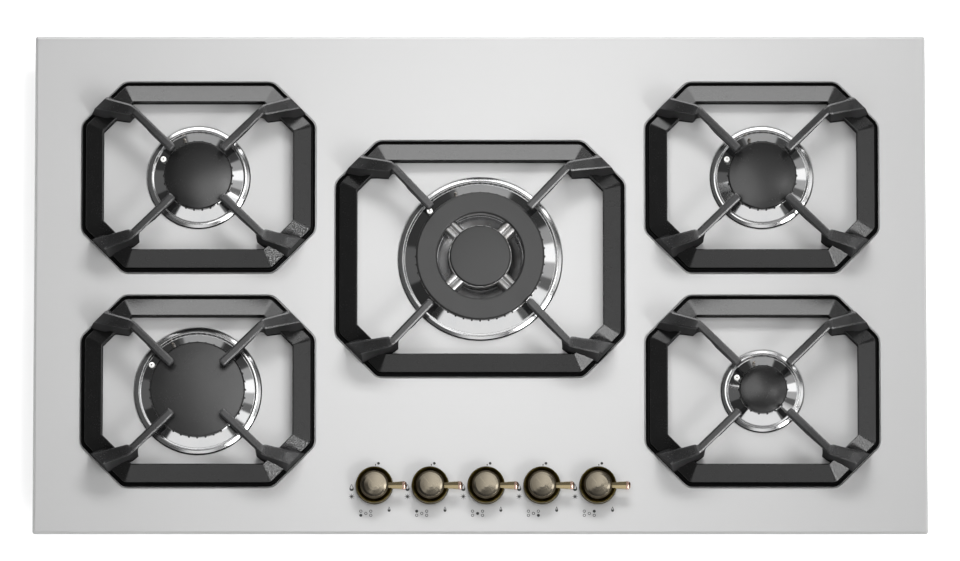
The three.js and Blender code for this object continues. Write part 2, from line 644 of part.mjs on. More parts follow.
/** Supply pipe: straight back from its tap, then across to the side of its burner's well. */
function supplyPipe({ x, y }, [tapX, tapY], turnY, level) {
  const start = tapY + TAP_WIDTH / 2 - 1 + OUTLET_LENGTH + GAP;
  const reach = WELL_RADIUS + CUP_WALL + GAP;
  const side = Math.sign(tapX - x) * Math.min(1, Math.abs(tapX - x) / TAP_WIDTH);
  const straight = Math.abs(side) < 1;
  const end = straight ? [x, y - reach] : [x + side * reach, y];
  const entry = straight ? [x, y - reach - 20] : [x + side * (reach + 30), y];
  const curve = new THREE.CatmullRomCurve3([
    new THREE.Vector3(tapX, start + 10, PIPE_LEVEL),
    new THREE.Vector3((tapX + entry[0]) / 2, turnY, level),
    new THREE.Vector3(...entry, PIPE_LEVEL),
  ], false, 'centripetal');
  const first = new THREE.Vector3(tapX, start, PIPE_LEVEL);
  const last = new THREE.Vector3(...end, PIPE_LEVEL);
  return pipe([first, ...curve.getPoints(10), last], PIPE_RADIUS, 6);
}

const PIPE_TURNS = {
  front_left: [-158, PIPE_LEVEL], rear_left: [-65, PIPE_LEVEL], centre: [-100, PIPE_LEVEL],
  front_right: [-150, PIPE_DIP], rear_right: [-60, PIPE_LEVEL],
};
BURNERS.forEach((burner, i) => {
  const body = supplyPipe(burner, knobPlaces[i], ...PIPE_TURNS[burner.name]);
  addPiece(`supply_pipe_${burner.name}`, body, ALUMINIUM);
});

const MANIFOLD_Y = KNOB_ROW_Y - TAP_WIDTH / 2 + 2;
const MANIFOLD_LEVEL = TAP_BOTTOM - GAP - MANIFOLD_RADIUS;

function gasManifold() {
  const start = new THREE.Vector3(knobPlaces[0][0] - TAP_WIDTH / 2, MANIFOLD_Y, MANIFOLD_LEVEL);
  const corner = new THREE.Vector3(MANIFOLD_X, MANIFOLD_Y, MANIFOLD_LEVEL);
  const end = new THREE.Vector3(MANIFOLD_X, TRAY_Y - TAP_WIDTH - GAP, MANIFOLD_LEVEL);
  const before = corner.clone().setX(MANIFOLD_X - MANIFOLD_BEND);
  const after = corner.clone().setY(MANIFOLD_Y + MANIFOLD_BEND);
  const bend = new THREE.QuadraticBezierCurve3(before, corner, after).getPoints(6);
  return pipe([start, ...bend, end], MANIFOLD_RADIUS, 8);
}

/** Threaded inlet behind the rear wall, on a block that takes the manifold's end. */
function inletElbow() {
  const back = TRAY_Y - TRAY_SHEET - GAP;
  const front = TRAY_Y - TAP_WIDTH;
  const half = ELBOW_RADIUS + 2;
  const body = block([-half, front, MANIFOLD_LEVEL - MANIFOLD_RADIUS], [half, back, PIPE_LEVEL + half]);
  const stub = bar(ELBOW_RADIUS, back - 1, PLATE_DEPTH / 2 - 4, 12).rotate([-90, 0, 0]);
  const bore = bar(ELBOW_BORE, front + 6, PLATE_DEPTH / 2, 10).rotate([-90, 0, 0]);
  const joined = body.add(stub.translate([0, 0, PIPE_LEVEL]));
  return joined.subtract(bore.translate([0, 0, PIPE_LEVEL])).translate([MANIFOLD_X, 0, 0]);
}

function sparkGenerator() {
  const { width, depth, height } = GENERATOR;
  const low = TRAY_SHEET + GAP;
  let body = block([-width / 2, -depth / 2, low], [width / 2, depth / 2, low + height - 5]);
  for (let i = 0; i < BURNERS.length; i += 1) {
    const x = (i - (BURNERS.length - 1) / 2) * width / 6;
    body = body.add(bar(2.4, low + height - 6, low + height, 6).translate([x, 0, 0]));
  }
  return body.translate([GENERATOR.x, GENERATOR.y, 0]);
}

/** Mains terminal box inside the rear wall, with its cable gland through the wall. */
function terminalBox() {
  const { width, depth, height, gland, glandBore, glandLength } = TERMINAL;
  const back = TRAY_Y - TRAY_SHEET - GAP;
  const low = TRAY_SHEET + GAP;
  const body = block([-width / 2, back - depth, low], [width / 2, back, low + height]);
  const neck = bar(gland, back - 1, back + TRAY_SHEET + glandLength, 12).rotate([-90, 0, 0]);
  const bore = bar(glandBore, back - depth / 2, back + TRAY_INSET, 8).rotate([-90, 0, 0]);
  const joined = body.add(neck.translate([0, 0, PIPE_LEVEL]));
  return joined.subtract(bore.translate([0, 0, PIPE_LEVEL])).translate([TERMINAL.x, 0, 0]);
}

/** Bent bracket on the tray's side wall whose arm grips the worktop from below. */
function worktopClamp() {
  const half = CLAMP_WIDTH / 2;
  const wall = TRAY_X + GAP;
  const arm = RIM_FOOT - WORKTOP;
  const upright = block([wall, -half, arm - CLAMP_SHEET], [wall + CLAMP_SHEET, half, RIM_FOOT - 4]);
  const foot = block([wall, -half, arm - CLAMP_SHEET], [wall + CLAMP_REACH, half, arm]);
  const rib = block([wall, -1, arm - CLAMP_SHEET - 5], [wall + CLAMP_REACH / 2, 1, arm - 1]);
  return join(upright, foot, rib);
}

addPiece('gas_manifold', gasManifold(), GALVANISED);
addPiece('gas_inlet_elbow', inletElbow(), BRASS);
addPiece('spark_generator', sparkGenerator(), BLACK_PLASTIC);
addPiece('terminal_box', terminalBox(), BLACK_PLASTIC);
addPiece('worktop_clamp_right', worktopClamp(), GALVANISED);
addPiece('worktop_clamp_left', worktopClamp().rotate([0, 0, 180]), GALVANISED);

export default cooktop;
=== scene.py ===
"""Visual model of a built-in gas cooktop with five burners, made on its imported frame.

Forms and the sizes in their classes are in millimetres, finishes, lights and camera in metres. The rear of the hob
is towards +Y. Angles are in degrees, anticlockwise from +X, but bearings in the studio are clockwise from the rear.
"""

import logging
import math
from collections.abc import Callable, Iterable, Sequence
from dataclasses import dataclass, field
from enum import Enum

import bmesh
import bpy
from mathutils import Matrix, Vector
from mathutils.geometry import tessellate_polygon


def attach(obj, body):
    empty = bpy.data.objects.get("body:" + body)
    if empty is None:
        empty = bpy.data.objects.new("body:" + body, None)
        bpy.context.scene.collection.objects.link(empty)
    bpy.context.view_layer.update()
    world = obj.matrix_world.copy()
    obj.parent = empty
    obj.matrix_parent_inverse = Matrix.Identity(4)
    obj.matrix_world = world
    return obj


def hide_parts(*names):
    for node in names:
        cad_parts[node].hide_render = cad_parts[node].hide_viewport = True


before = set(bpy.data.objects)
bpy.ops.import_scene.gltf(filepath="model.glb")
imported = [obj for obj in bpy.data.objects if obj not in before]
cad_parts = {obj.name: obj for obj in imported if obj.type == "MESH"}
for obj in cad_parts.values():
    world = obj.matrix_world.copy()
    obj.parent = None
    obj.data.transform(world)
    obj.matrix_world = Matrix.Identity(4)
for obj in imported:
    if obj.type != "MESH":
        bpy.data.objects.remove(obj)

LOG = logging.getLogger("cooktop")
MM = 0.001
TINY = 1e-6
MERGE = 1e-7
QUADRANTS = ((1, 1), (-1, 1), (-1, -1), (1, -1))
Flat = tuple[float, float]
Spot = tuple[float, float, float]


class Slot(Enum):
    """Material slots of the record."""

    STEEL = "steel"
    POLISHED = "polished"
    CAST_ENAMEL = "cast_enamel"
    CAP_ENAMEL = "cap_enamel"
    ALUMINIUM = "aluminium"
    CERAMIC = "ceramic"
    BRONZE = "bronze"
    BLACK_PLASTIC = "black_plastic"


# ------------------------------------------------------------------ shader graph


@dataclass(frozen=True)
class Signal:
    """Output of a shader node that takes part in arithmetic; each operator adds a Math node."""

    graph: "Graph"
    socket: bpy.types.NodeSocket

    def _math(self, operation: str, *values: "Signal | float") -> "Signal":
        """Math node on two values."""
        return self.graph.add("ShaderNodeMath", {"operation": operation}, dict(enumerate(values)))

    def __add__(self, other: "Signal | float") -> "Signal":
        """Sum."""
        return self._math("ADD", self, other)

    __radd__ = __add__

    def __sub__(self, other: "Signal | float") -> "Signal":
        """Difference."""
        return self._math("SUBTRACT", self, other)

    def __rsub__(self, other: float) -> "Signal":
        """Difference from a number."""
        return self._math("SUBTRACT", other, self)

    def __mul__(self, other: "Signal | float") -> "Signal":
        """Product."""
        return self._math("MULTIPLY", self, other)

    __rmul__ = __mul__

    def swing(self, width: float) -> "Signal":
        """Signal between 0 and 1, turned into a swing of this width about 0."""
        return (self - 0.5) * width

    def eased(self, low: float, high: float) -> "Signal":
        """Smooth step.

        Args:
            low: value that gives 0.
            high: value that gives 1.

        Returns:
            The eased signal.
        """
        inputs = {"Value": self, "From Min": low, "From Max": high, "To Min": 0.0, "To Max": 1.0}
        return self.graph.add("ShaderNodeMapRange", {"interpolation_type": "SMOOTHSTEP"}, inputs)


class Graph:
    """Node tree of a material or of the surround, with the few calls that they need."""

    def __init__(self, tree: bpy.types.NodeTree) -> None:
        """Empty the tree."""
        self.tree = tree
        tree.nodes.clear()

    def add(
        self, kind: str, settings: dict | None = None, inputs: dict | None = None, output: int | str = 0
    ) -> Signal:
        """Add a node.

        Args:
            kind: Blender's type name of the node.
            settings: properties that are set first.
            inputs: numbers, colours or signals for the sockets, by name or index.
            output: the output that is wanted.

        Returns:
            The output as a signal.
        """
        node = self.tree.nodes.new(kind)
        for key, value in (settings or {}).items():
            setattr(node, key, value)
        for key, value in (inputs or {}).items():
            self._feed(node.inputs[key], value)
        return Signal(self, node.outputs[output])

    def _feed(self, socket: bpy.types.NodeSocket, value: "Signal | float | Sequence[float]") -> None:
        """Feed one socket.

        Args:
            socket: the socket.
            value: signal to link to it, or value to set.
        """
        if isinstance(value, Signal):
            self.tree.links.new(value.socket, socket)
        else:
            socket.default_value = value

    def vector(self, operation: str, *values: Signal | Spot, output: str = "Vector") -> Signal:
        """Vector Math node on the values."""
        return self.add("ShaderNodeVectorMath", {"operation": operation}, dict(enumerate(values)), output)

    def part(self, vector: Signal, which: str) -> Signal:
        """One component of a vector."""
        return self.add("ShaderNodeSeparateXYZ", {}, {0: vector}, which)

    def surface(self, what: str) -> Signal:
        """One output of the Geometry node."""
        return self.add("ShaderNodeNewGeometry", output=what)

    def blend(self, share: Signal, first: Signal | Spot, second: Signal | Spot) -> Signal:
        """Mix two colours.

        Args:
            share: how much of the second colour shows.
            first: colour where the share is 0.
            second: colour where the share is 1.

        Returns:
            The mixed colour.
        """
        colours = {6: first, 7: second}
        fixed = {k: v if isinstance(v, Signal) else (*v, 1.0) for k, v in colours.items()}
        return self.add("ShaderNodeMix", {"data_type": "RGBA"}, {0: share, **fixed}, 2)

    def greys(self, share: Signal, tone: float, first: float, second: float) -> Signal:
        """Mix two greys, given as shares of one tone."""
        return self.blend(share, grey(tone * first), grey(tone * second))

    def place(self, stretch: Spot = (1.0, 1.0, 1.0)) -> Signal:
        """Object coordinates, multiplied along each axis."""
        return self.vector("MULTIPLY", self.add("ShaderNodeTexCoord", output="Object"), stretch)

    def axis(self, which: str) -> Signal:
        """One object coordinate, in metres."""
        return self.part(self.place(), which)

    def noise(self, scale: float, stretch: Spot = (1.0, 1.0, 1.0), detail: float = 3.0, rough: float = 0.5) -> Signal:
        """Noise between 0 and 1 in object space.

        Args:
            scale: cells per metre.
            stretch: factor along X, Y and Z.
            detail: number of finer layers.
            rough: strength of the finer layers.

        Returns:
            The noise value.
        """
        inputs = {"Vector": self.place(stretch), "Scale": scale, "Detail": detail, "Roughness": rough}
        return self.add("ShaderNodeTexNoise", {}, inputs)

    def bump(self, height: Signal, depth: float, strength: float = 1.0) -> Signal:
        """Normal of a bumpy surface.

        Args:
            height: signal between 0 and 1.
            depth: height in metres of a signal of 1.
            strength: share of the effect.

        Returns:
            The bent normal.
        """
        return self.add("ShaderNodeBump", {}, {"Strength": strength, "Distance": depth, "Height": height})

    def finish(self, kind: str, shader: Signal) -> None:
        """End the tree.

        Args:
            kind: Blender's type name of the output node.
            shader: what it shows.
        """
        self._feed(self.tree.nodes.new(kind).inputs["Surface"], shader)

    def principled(self, **inputs: Signal | float | Spot) -> Signal:
        """Main shader.

        Args:
            inputs: values or signals of its sockets, named with underscores for spaces.

        Returns:
            The shader's output.
        """
        fixed = {key.replace("_", " "): (*v, 1.0) if isinstance(v, tuple) else v for key, v in inputs.items()}
        return self.add("ShaderNodeBsdfPrincipled", {}, fixed)


def grey(level: float) -> Spot:
    """Grey of one level."""
    return level, level, level


def scaled(colour: Spot, *shares: float) -> Spot:
    """Colour times one share, or times a share for each channel."""
    return tuple(c * s for c, s in zip(colour, shares * (3 // len(shares))))


# ------------------------------------------------------------------ finishes


class Finish:
    """Base of the finishes: a material that is made once and then shared."""

    def paint(self, graph: Graph) -> Signal:
        """Build the shader. Each finish has its own."""
        raise NotImplementedError

    def material(self) -> bpy.types.Material:
        """Material of this finish.

        Returns:
            The material, made at the first call. Its name ends with a number that follows from its values.
        """
        name = "finish_" + "".join("_" + c.lower() if c.isupper() else c for c in type(self).__name__).strip("_")
        name = name + "_" + str(abs(hash(self)) % 100000)
        found = bpy.data.materials.get(name)
        if found:
            return found
        made = bpy.data.materials.new(name)
        made.use_nodes = True
        graph = Graph(made.node_tree)
        graph.finish("ShaderNodeOutputMaterial", self.paint(graph))
        return made


@dataclass(frozen=True)
class BrushedSteel(Finish):
    """Satin stainless sheet with its grain along the width."""

    tone: float = 0.60
    roughness: float = 0.40
    metal: float = 0.32

    def paint(self, graph: Graph) -> Signal:
        """Fine grain lines, a few longer streaks and a slow change of tone.

        Args:
            graph: the material's tree.

        Returns:
            The shader.
        """
        grain = graph.noise(1.0, (9.0, 2600.0, 2600.0), 4.0, 0.62)
        streak = graph.noise(1.0, (2.2, 330.0, 330.0), 3.0, 0.6)
        cloud = graph.noise(4.5, detail=2.0)
        shade = grain.swing(0.10) + streak.swing(0.07) + cloud.swing(0.04) + 0.5
        dark = scaled(grey(self.tone), 0.90, 0.90, 0.895)
        pale = scaled(grey(self.tone), 1.10, 1.10, 1.105)
        gloss = grain.swing(0.16) + streak.swing(0.08) + self.roughness
        return graph.principled(
            Base_Color=graph.blend(shade, dark, pale), Metallic=self.metal, Roughness=gloss,
            Normal=graph.bump(grain, 0.000012, 0.5),
        )


@dataclass(frozen=True)
class PolishedSteel(Finish):
    """Bright pressed steel with faint turning lines, a breath of heat tint and a satin bead."""

    tone: float = 0.78
    roughness: float = 0.055
    bead: float = 1.0
    bead_rise: float = 0.0006

    def paint(self, graph: Graph) -> Signal:
        """Turning lines round the piece's own axis, with dull spots and a satin bead.

        Args:
            graph: the material's tree.

        Returns:
            The shader.
        """
        flat = graph.vector("MULTIPLY", graph.place(), (1.0, 1.0, 0.0))
        radius = graph.vector("LENGTH", flat, output="Value")
        turning = {"W": radius * 1700.0, "Scale": 1.0, "Detail": 2.0}
        lines = graph.add("ShaderNodeTexNoise", {"noise_dimensions": "1D"}, turning)
        haze = graph.noise(60.0, detail=3.0)
        tint = graph.blend(haze.eased(0.35, 0.8), grey(self.tone), scaled(grey(self.tone), 0.95, 0.96, 0.97))
        satin = radius.eased(self.bead, self.bead + self.bead_rise) * 0.10
        gloss = lines.swing(0.04) + haze.swing(0.03) + satin + self.roughness
        return graph.principled(
            Base_Color=tint, Metallic=1.0, Roughness=gloss, Normal=graph.bump(lines, 0.000005, 0.2),
        )


@dataclass(frozen=True)
class CastEnamel(Finish):
    """Black enamel over a grained casting, coated towards the rear and rubbed down on front right faces; its paler
    edges are partly wear and partly painted highlight, and painted shade makes its foot matte black and its steep faces
    partly so.
    """

    tone: float = 0.007
    roughness: float = 0.24
    grain: float = 0.00016
    # Height below which painted shade turns the enamel matte black.
    dull_below: float = 0.0525
    fettled: float = 0.0
    # Colour of the paler edges: partly wear, partly painted highlight.
    worn: Spot = (0.16, 0.16, 0.165)

    def paint(self, graph: Graph) -> Signal:
        """Pebbled casting grain under a glossy coat, paler on edges by wear and painted highlight, with painted shade
        as matte black at its foot and in part on steep faces.

        Args:
            graph: the material's tree.

        Returns:
            The shader.
        """
        pebbles = graph.noise(620.0, detail=2.0, rough=0.45)
        swell = graph.noise(70.0, detail=2.0)
        edge = graph.surface("Pointiness").eased(0.52, 0.60)
        # Paler edges: partly wear, partly a painted highlight along the fingers' edges.
        worn = graph.blend(edge * 0.35, graph.greys(swell, self.tone, 0.8, 1.25), self.worn)
        facing = graph.surface("Normal")
        upward = graph.part(facing, "Z")
        steep = 1.0 - upward.eased(0.05, 0.40)
        rear = graph.part(facing, "Y").eased(0.26, 0.36)
        front_right = graph.vector("DOT_PRODUCT", facing, (0.7, -0.7, 0.0), output="Value")
        fettled = front_right.eased(0.33, 0.37) * upward.eased(0.6, 0.8) * self.fettled
        grit = graph.noise(1150.0, detail=1.0).eased(0.47, 0.56)
        gloss = pebbles.swing(0.18) + swell.swing(0.08) + steep * 0.40 + self.roughness
        gloss = gloss + fettled * (0.30 - grit * 0.44)
        relief = pebbles * (fettled * 2.4 + 0.8) + swell * 0.4
        glossy = graph.principled(
            Base_Color=worn, Roughness=gloss, Specular_IOR_Level=0.72, Coat_Weight=rear, Coat_Roughness=0.26,
            Coat_IOR=1.72, Normal=graph.bump(relief, self.grain, 0.55),
        )
        # Painted shade: a darker matte black that stands in for the shade at the ring's foot and, in part, on steep
        # faces.
        painted_shade_black = graph.add("ShaderNodeBsdfDiffuse", {}, {"Color": (*grey(self.tone * 0.5), 1.0)})
        low = 1.0 - (graph.axis("Z") + pebbles.swing(0.0006)).eased(self.dull_below, self.dull_below + 0.0015)
        share = low * 0.9 + steep * (1.0 - low) * 0.6
        return graph.add("ShaderNodeMixShader", {}, {0: share, 1: glossy, 2: painted_shade_black})


@dataclass(frozen=True)
class CapEnamel(Finish):
    """Satin dark enamel of the burner caps."""

    tone: float = 0.006
    roughness: float = 0.24

    def paint(self, graph: Graph) -> Signal:
        """Fine orange peel with slightly matte patches.

        Args:
            graph: the material's tree.

        Returns:
            The shader.
        """
        peel = graph.noise(900.0, detail=2.0)
        cloud = graph.noise(45.0, detail=3.0)
        gloss = peel.swing(0.14) + cloud.swing(0.08) + self.roughness
        return graph.principled(
            Base_Color=graph.greys(cloud, self.tone, 0.9, 1.12), Roughness=gloss, Specular_IOR_Level=0.9,
            Normal=graph.bump(peel, 0.00005, 0.5),
        )


@dataclass(frozen=True)
class CastAluminium(Finish):
    """Machined cast aluminium, dulled by heat and darker below a given height by soot and painted shade."""

    tone: float = 0.60
    roughness: float = 0.38
    # Height below which soot and painted shade darken it.
    soot: float = 0.0
    sooty: Spot = (0.34, 0.34, 0.343)

    def paint(self, graph: Graph) -> Signal:
        """Grain, small pits and darker stains, with soot and painted shade at the foot.

        Args:
            graph: the material's tree.

        Returns:
            The shader.
        """
        grain = graph.noise(800.0, detail=3.0)
        stain = graph.noise(90.0, detail=3.0).eased(0.4, 0.75)
        clean = graph.blend(stain, grey(self.tone), scaled(grey(self.tone), 0.72, 0.70, 0.67))
        # Soot and painted shade: darker below the given height.
        low = 1.0 - (graph.axis("Z") + stain.swing(0.001)).eased(self.soot, self.soot + 0.003)
        gloss = grain.swing(0.22) + stain * 0.12 - low * 0.22 + self.roughness
        return graph.principled(
            Base_Color=graph.blend(low, clean, self.sooty), Metallic=1.0, Roughness=gloss,
            Normal=graph.bump(grain, 0.00006, 0.5),
        )


@dataclass(frozen=True)
class AgedBrass(Finish):
    """Old brass with a satin face, browner in patches of patina and, if wanted, darker on its left side by painted
    shade.
    """

    pale: Spot = (0.50, 0.43, 0.30)
    dark: Spot = (0.20, 0.15, 0.08)
    roughness: float = 0.30
    # Share and span of the painted shade that darkens the left side.
    browned: float = 0.0
    browned_at: Flat = (-0.012, 0.007)

    def paint(self, graph: Graph) -> Signal:
        """Brushing lines, patina in patches, rubbed edges and painted shade that darkens one side.

        Args:
            graph: the material's tree.

        Returns:
            The shader.
        """
        lines = graph.noise(1.0, (400.0, 2600.0, 400.0), 3.0, 0.6)
        patina = graph.noise(90.0, detail=4.0, rough=0.55)
        edge = graph.surface("Pointiness").eased(0.51, 0.60)
        aged = graph.blend(patina.eased(0.38, 0.72), self.pale, self.dark)
        rubbed = graph.blend(edge * 0.4, aged, tuple(min(1.0, c * 1.5) for c in self.pale))
        # Painted shade: darker towards the left, as if the light fell from the right.
        side = (1.0 - graph.axis("X").eased(*self.browned_at)) * self.browned
        gloss = lines.swing(0.05) + patina.swing(0.04) + self.roughness
        return graph.principled(
            Base_Color=graph.blend(side, rubbed, scaled(self.dark, 0.35)), Metallic=1.0, Roughness=gloss,
            Normal=graph.bump(lines, 0.000004, 0.2),
        )


@dataclass(frozen=True)
class PrintedInk(Finish):
    """Dark grey printing on the plate."""

    tone: float = 0.03

    def paint(self, graph: Graph) -> Signal:
        """Nearly even ink with a slightly mottled gloss."""
        mottle = graph.noise(2500.0, detail=2.0)
        return graph.principled(Base_Color=graph.greys(mottle, self.tone, 0.8, 1.3), Roughness=mottle * 0.2 + 0.45)


@dataclass(frozen=True)
class GlazedCeramic(Finish):
    """White glazed insulator with a painted glow at its tip."""

    glaze: Spot = (0.88, 0.88, 0.86)
    speckled: Spot = (0.60, 0.59, 0.56)
    # Heights over which the tip's painted glow comes in.
    tip_at: Flat = (0.0572, 0.0582)

    def paint(self, graph: Graph) -> Signal:
        """Warm white glaze with faint speckles and a painted glow, which makes the tip emit light though it is no lamp.

        Args:
            graph: the material's tree.

        Returns:
            The shader.
        """
        speck = graph.noise(1500.0, detail=2.0)
        base = graph.blend(speck.eased(0.62, 0.75) * 0.4, self.glaze, self.speckled)
        return graph.principled(
            Base_Color=base, Roughness=speck * 0.12 + 0.16, Coat_Weight=0.5, Coat_Roughness=0.08,
            # Painted light: emission makes the tip glow.
            Emission_Color=graph.blend(graph.axis("Z").eased(*self.tip_at), grey(0.0), base),
            Emission_Strength=0.75, Normal=graph.bump(speck, 0.00002, 0.3),
        )


@dataclass(frozen=True)
class HeatedSteel(Finish):
    """Steel pin, straw coloured by the flame."""

    clean: Spot = (0.62, 0.61, 0.60)
    straw: Spot = (0.42, 0.34, 0.26)

    def paint(self, graph: Graph) -> Signal:
        """Bands of heat colour along a grey pin.

        Args:
            graph: the material's tree.

        Returns:
            The shader.
        """
        bands = graph.noise(1.0, (120.0, 120.0, 420.0), 3.0)
        base = graph.blend(bands.eased(0.35, 0.7), self.clean, self.straw)
        return graph.principled(Base_Color=base, Metallic=1.0, Roughness=bands * 0.3 + 0.14)


@dataclass(frozen=True)
class GalvanisedSheet(Finish):
    """Zinc-coated sheet with spangles."""

    tone: float = 0.36
    spangles: float = 95.0

    def paint(self, graph: Graph) -> Signal:
        """Crystal patches of zinc with their own tone and gloss.

        Args:
            graph: the material's tree.

        Returns:
            The shader.
        """
        cells = {"Vector": graph.place(), "Scale": self.spangles, "Randomness": 1.0}
        colour = graph.add("ShaderNodeTexVoronoi", {}, cells, "Color")
        patch = graph.add("ShaderNodeSeparateColor", {}, {0: colour}, 0)
        dust = graph.noise(500.0, detail=3.0)
        base = graph.blend(patch, grey(self.tone * 0.8), scaled(grey(self.tone), 1.2, 1.21, 1.23))
        gloss = patch * 0.16 + dust.swing(0.12) + 0.34
        return graph.principled(
            Base_Color=base, Metallic=0.9, Roughness=gloss, Normal=graph.bump(patch + dust * 0.4, 0.00004, 0.4),
        )


@dataclass(frozen=True)
class BlackPlastic(Finish):
    """Fine spark-eroded black plastic."""

    black: float = 0.022
    dusty: Spot = (0.06, 0.058, 0.055)

    def paint(self, graph: Graph) -> Signal:
        """Even grain, a little paler where dusty.

        Args:
            graph: the material's tree.

        Returns:
            The shader.
        """
        grain = graph.noise(1600.0, detail=2.0)
        dust = graph.noise(40.0, detail=4.0).eased(0.5, 0.8)
        return graph.principled(
            Base_Color=graph.blend(dust * 0.4, grey(self.black), self.dusty), Roughness=grain * 0.2 + 0.42,
            Normal=graph.bump(grain, 0.00008, 0.5),
        )


@dataclass(frozen=True)
class FoamStrip(Finish):
    """Closed-cell sealing strip."""

    pore_scale: float = 1400.0

    def paint(self, graph: Graph) -> Signal:
        """Open pores at the cut surface.

        Args:
            graph: the material's tree.

        Returns:
            The shader.
        """
        cells = {"Vector": graph.place(), "Scale": self.pore_scale}
        pores = graph.add("ShaderNodeTexVoronoi", {}, cells, "Distance")
        return graph.principled(
            Base_Color=graph.blend(pores, grey(0.012), grey(0.05)), Roughness=pores * 0.2 + 0.8,
            Normal=graph.bump(pores, 0.0003, 0.8),
        )


@dataclass(frozen=True)
class PaleFloor(Finish):
    """Plain pale ground."""

    tone: float = 0.92
    glow: float = 0.72

    def paint(self, graph: Graph) -> Signal:
        """Matte and white, lifted a little so that it stays pale in the shade."""
        return graph.principled(
            Base_Color=graph.greys(graph.noise(3.0, detail=2.0), self.tone, 0.99, 1.0), Roughness=0.9,
            Specular_IOR_Level=0.1, Emission_Color=grey(1.0), Emission_Strength=self.glow,
        )


# ------------------------------------------------------------------ mesh making


def arc(centre: Flat, radius: float, start: float, end: float, steps: int) -> list[Flat]:
    """Points of an arc.

    Args:
        centre: middle of the arc.
        radius: its radius.
        start: first angle.
        end: last angle.
        steps: number of chords.

    Returns:
        steps + 1 points.
    """
    angles = [math.radians(start + (end - start) * i / steps) for i in range(steps + 1)]
    return [(centre[0] + radius * math.cos(a), centre[1] + radius * math.sin(a)) for a in angles]


def polar(radius: float, degrees: float) -> Flat:
    """Point at a radius and an angle."""
    return radius * math.cos(math.radians(degrees)), radius * math.sin(math.radians(degrees))


def rounded(profile: Sequence[Spot], steps: int = 4, closed: bool = False) -> list[Flat]:
    """Profile whose corners are rounded.

    Args:
        profile: radius, height and corner rounding of each point.
        steps: chords of each rounded corner.
        closed: whether the last point joins the first.

    Returns:
        The profile's points.
    """
    points: list[Flat] = []
    count = len(profile)
    for i, (r, z, ease) in enumerate(profile):
        if ease <= 0 or (not closed and i in (0, count - 1)):
            points.append((r, z))
            continue
        here = Vector((r, z))
        before = Vector(profile[i - 1][:2]) - here
        after = Vector(profile[(i + 1) % count][:2]) - here
        turn = before.angle(after)
        reach = min(ease / math.tan(turn / 2), before.length * 0.48, after.length * 0.48)
        a, b = here + before.normalized() * reach, here + after.normalized() * reach
        for k in range(steps + 1):
            t = k / steps
            mixed = a * (1 - t) ** 2 + here * (2 * t * (1 - t)) + b * t**2
            points.append((mixed.x, mixed.y))
    return points


def octagon(half: Flat, chamfer: float, corner: float, inset: float, steps: int = 5) -> list[Flat]:
    """Rectangle with 45 degree chamfers and rounded corners to them.

    Args:
        half: half width and half depth.
        chamfer: how far each chamfer runs along the sides.
        corner: rounding of the eight corners.
        inset: how far the outline is drawn in.
        steps: chords of each corner.

    Returns:
        Points of the outline, anticlockwise.
    """
    x, y = half[0] - inset, half[1] - inset
    leg = chamfer - inset * (2 - math.sqrt(2))
    radius = max(corner - inset, 1.5)
    cut = radius * math.tan(math.pi / 8)
    near, far = (x - radius, y - leg - cut), (x - leg - cut, y - radius)
    centres = [
        near, far, (-far[0], far[1]), (-near[0], near[1]),
        (-near[0], -near[1]), (-far[0], -far[1]), (far[0], -far[1]), (near[0], -near[1]),
    ]
    return [point for i, centre in enumerate(centres) for point in arc(centre, radius, 45 * i, 45 * i + 45, steps)]


def rectangle(half: Flat, corner: float, inset: float, steps: int = 6) -> list[Flat]:
    """Rectangle with rounded corners.

    Args:
        half: half width and half depth.
        corner: rounding of the four corners.
        inset: how far the outline is drawn in.
        steps: chords of each corner.

    Returns:
        Points of the outline, anticlockwise.
    """
    x, y = half[0] - inset, half[1] - inset
    radius = max(corner - inset, 0.3)
    points: list[Flat] = []
    for i, (sx, sy) in enumerate(QUADRANTS):
        points.extend(arc((sx * (x - radius), sy * (y - radius)), radius, 90 * i, 90 * i + 90, steps))
    return points


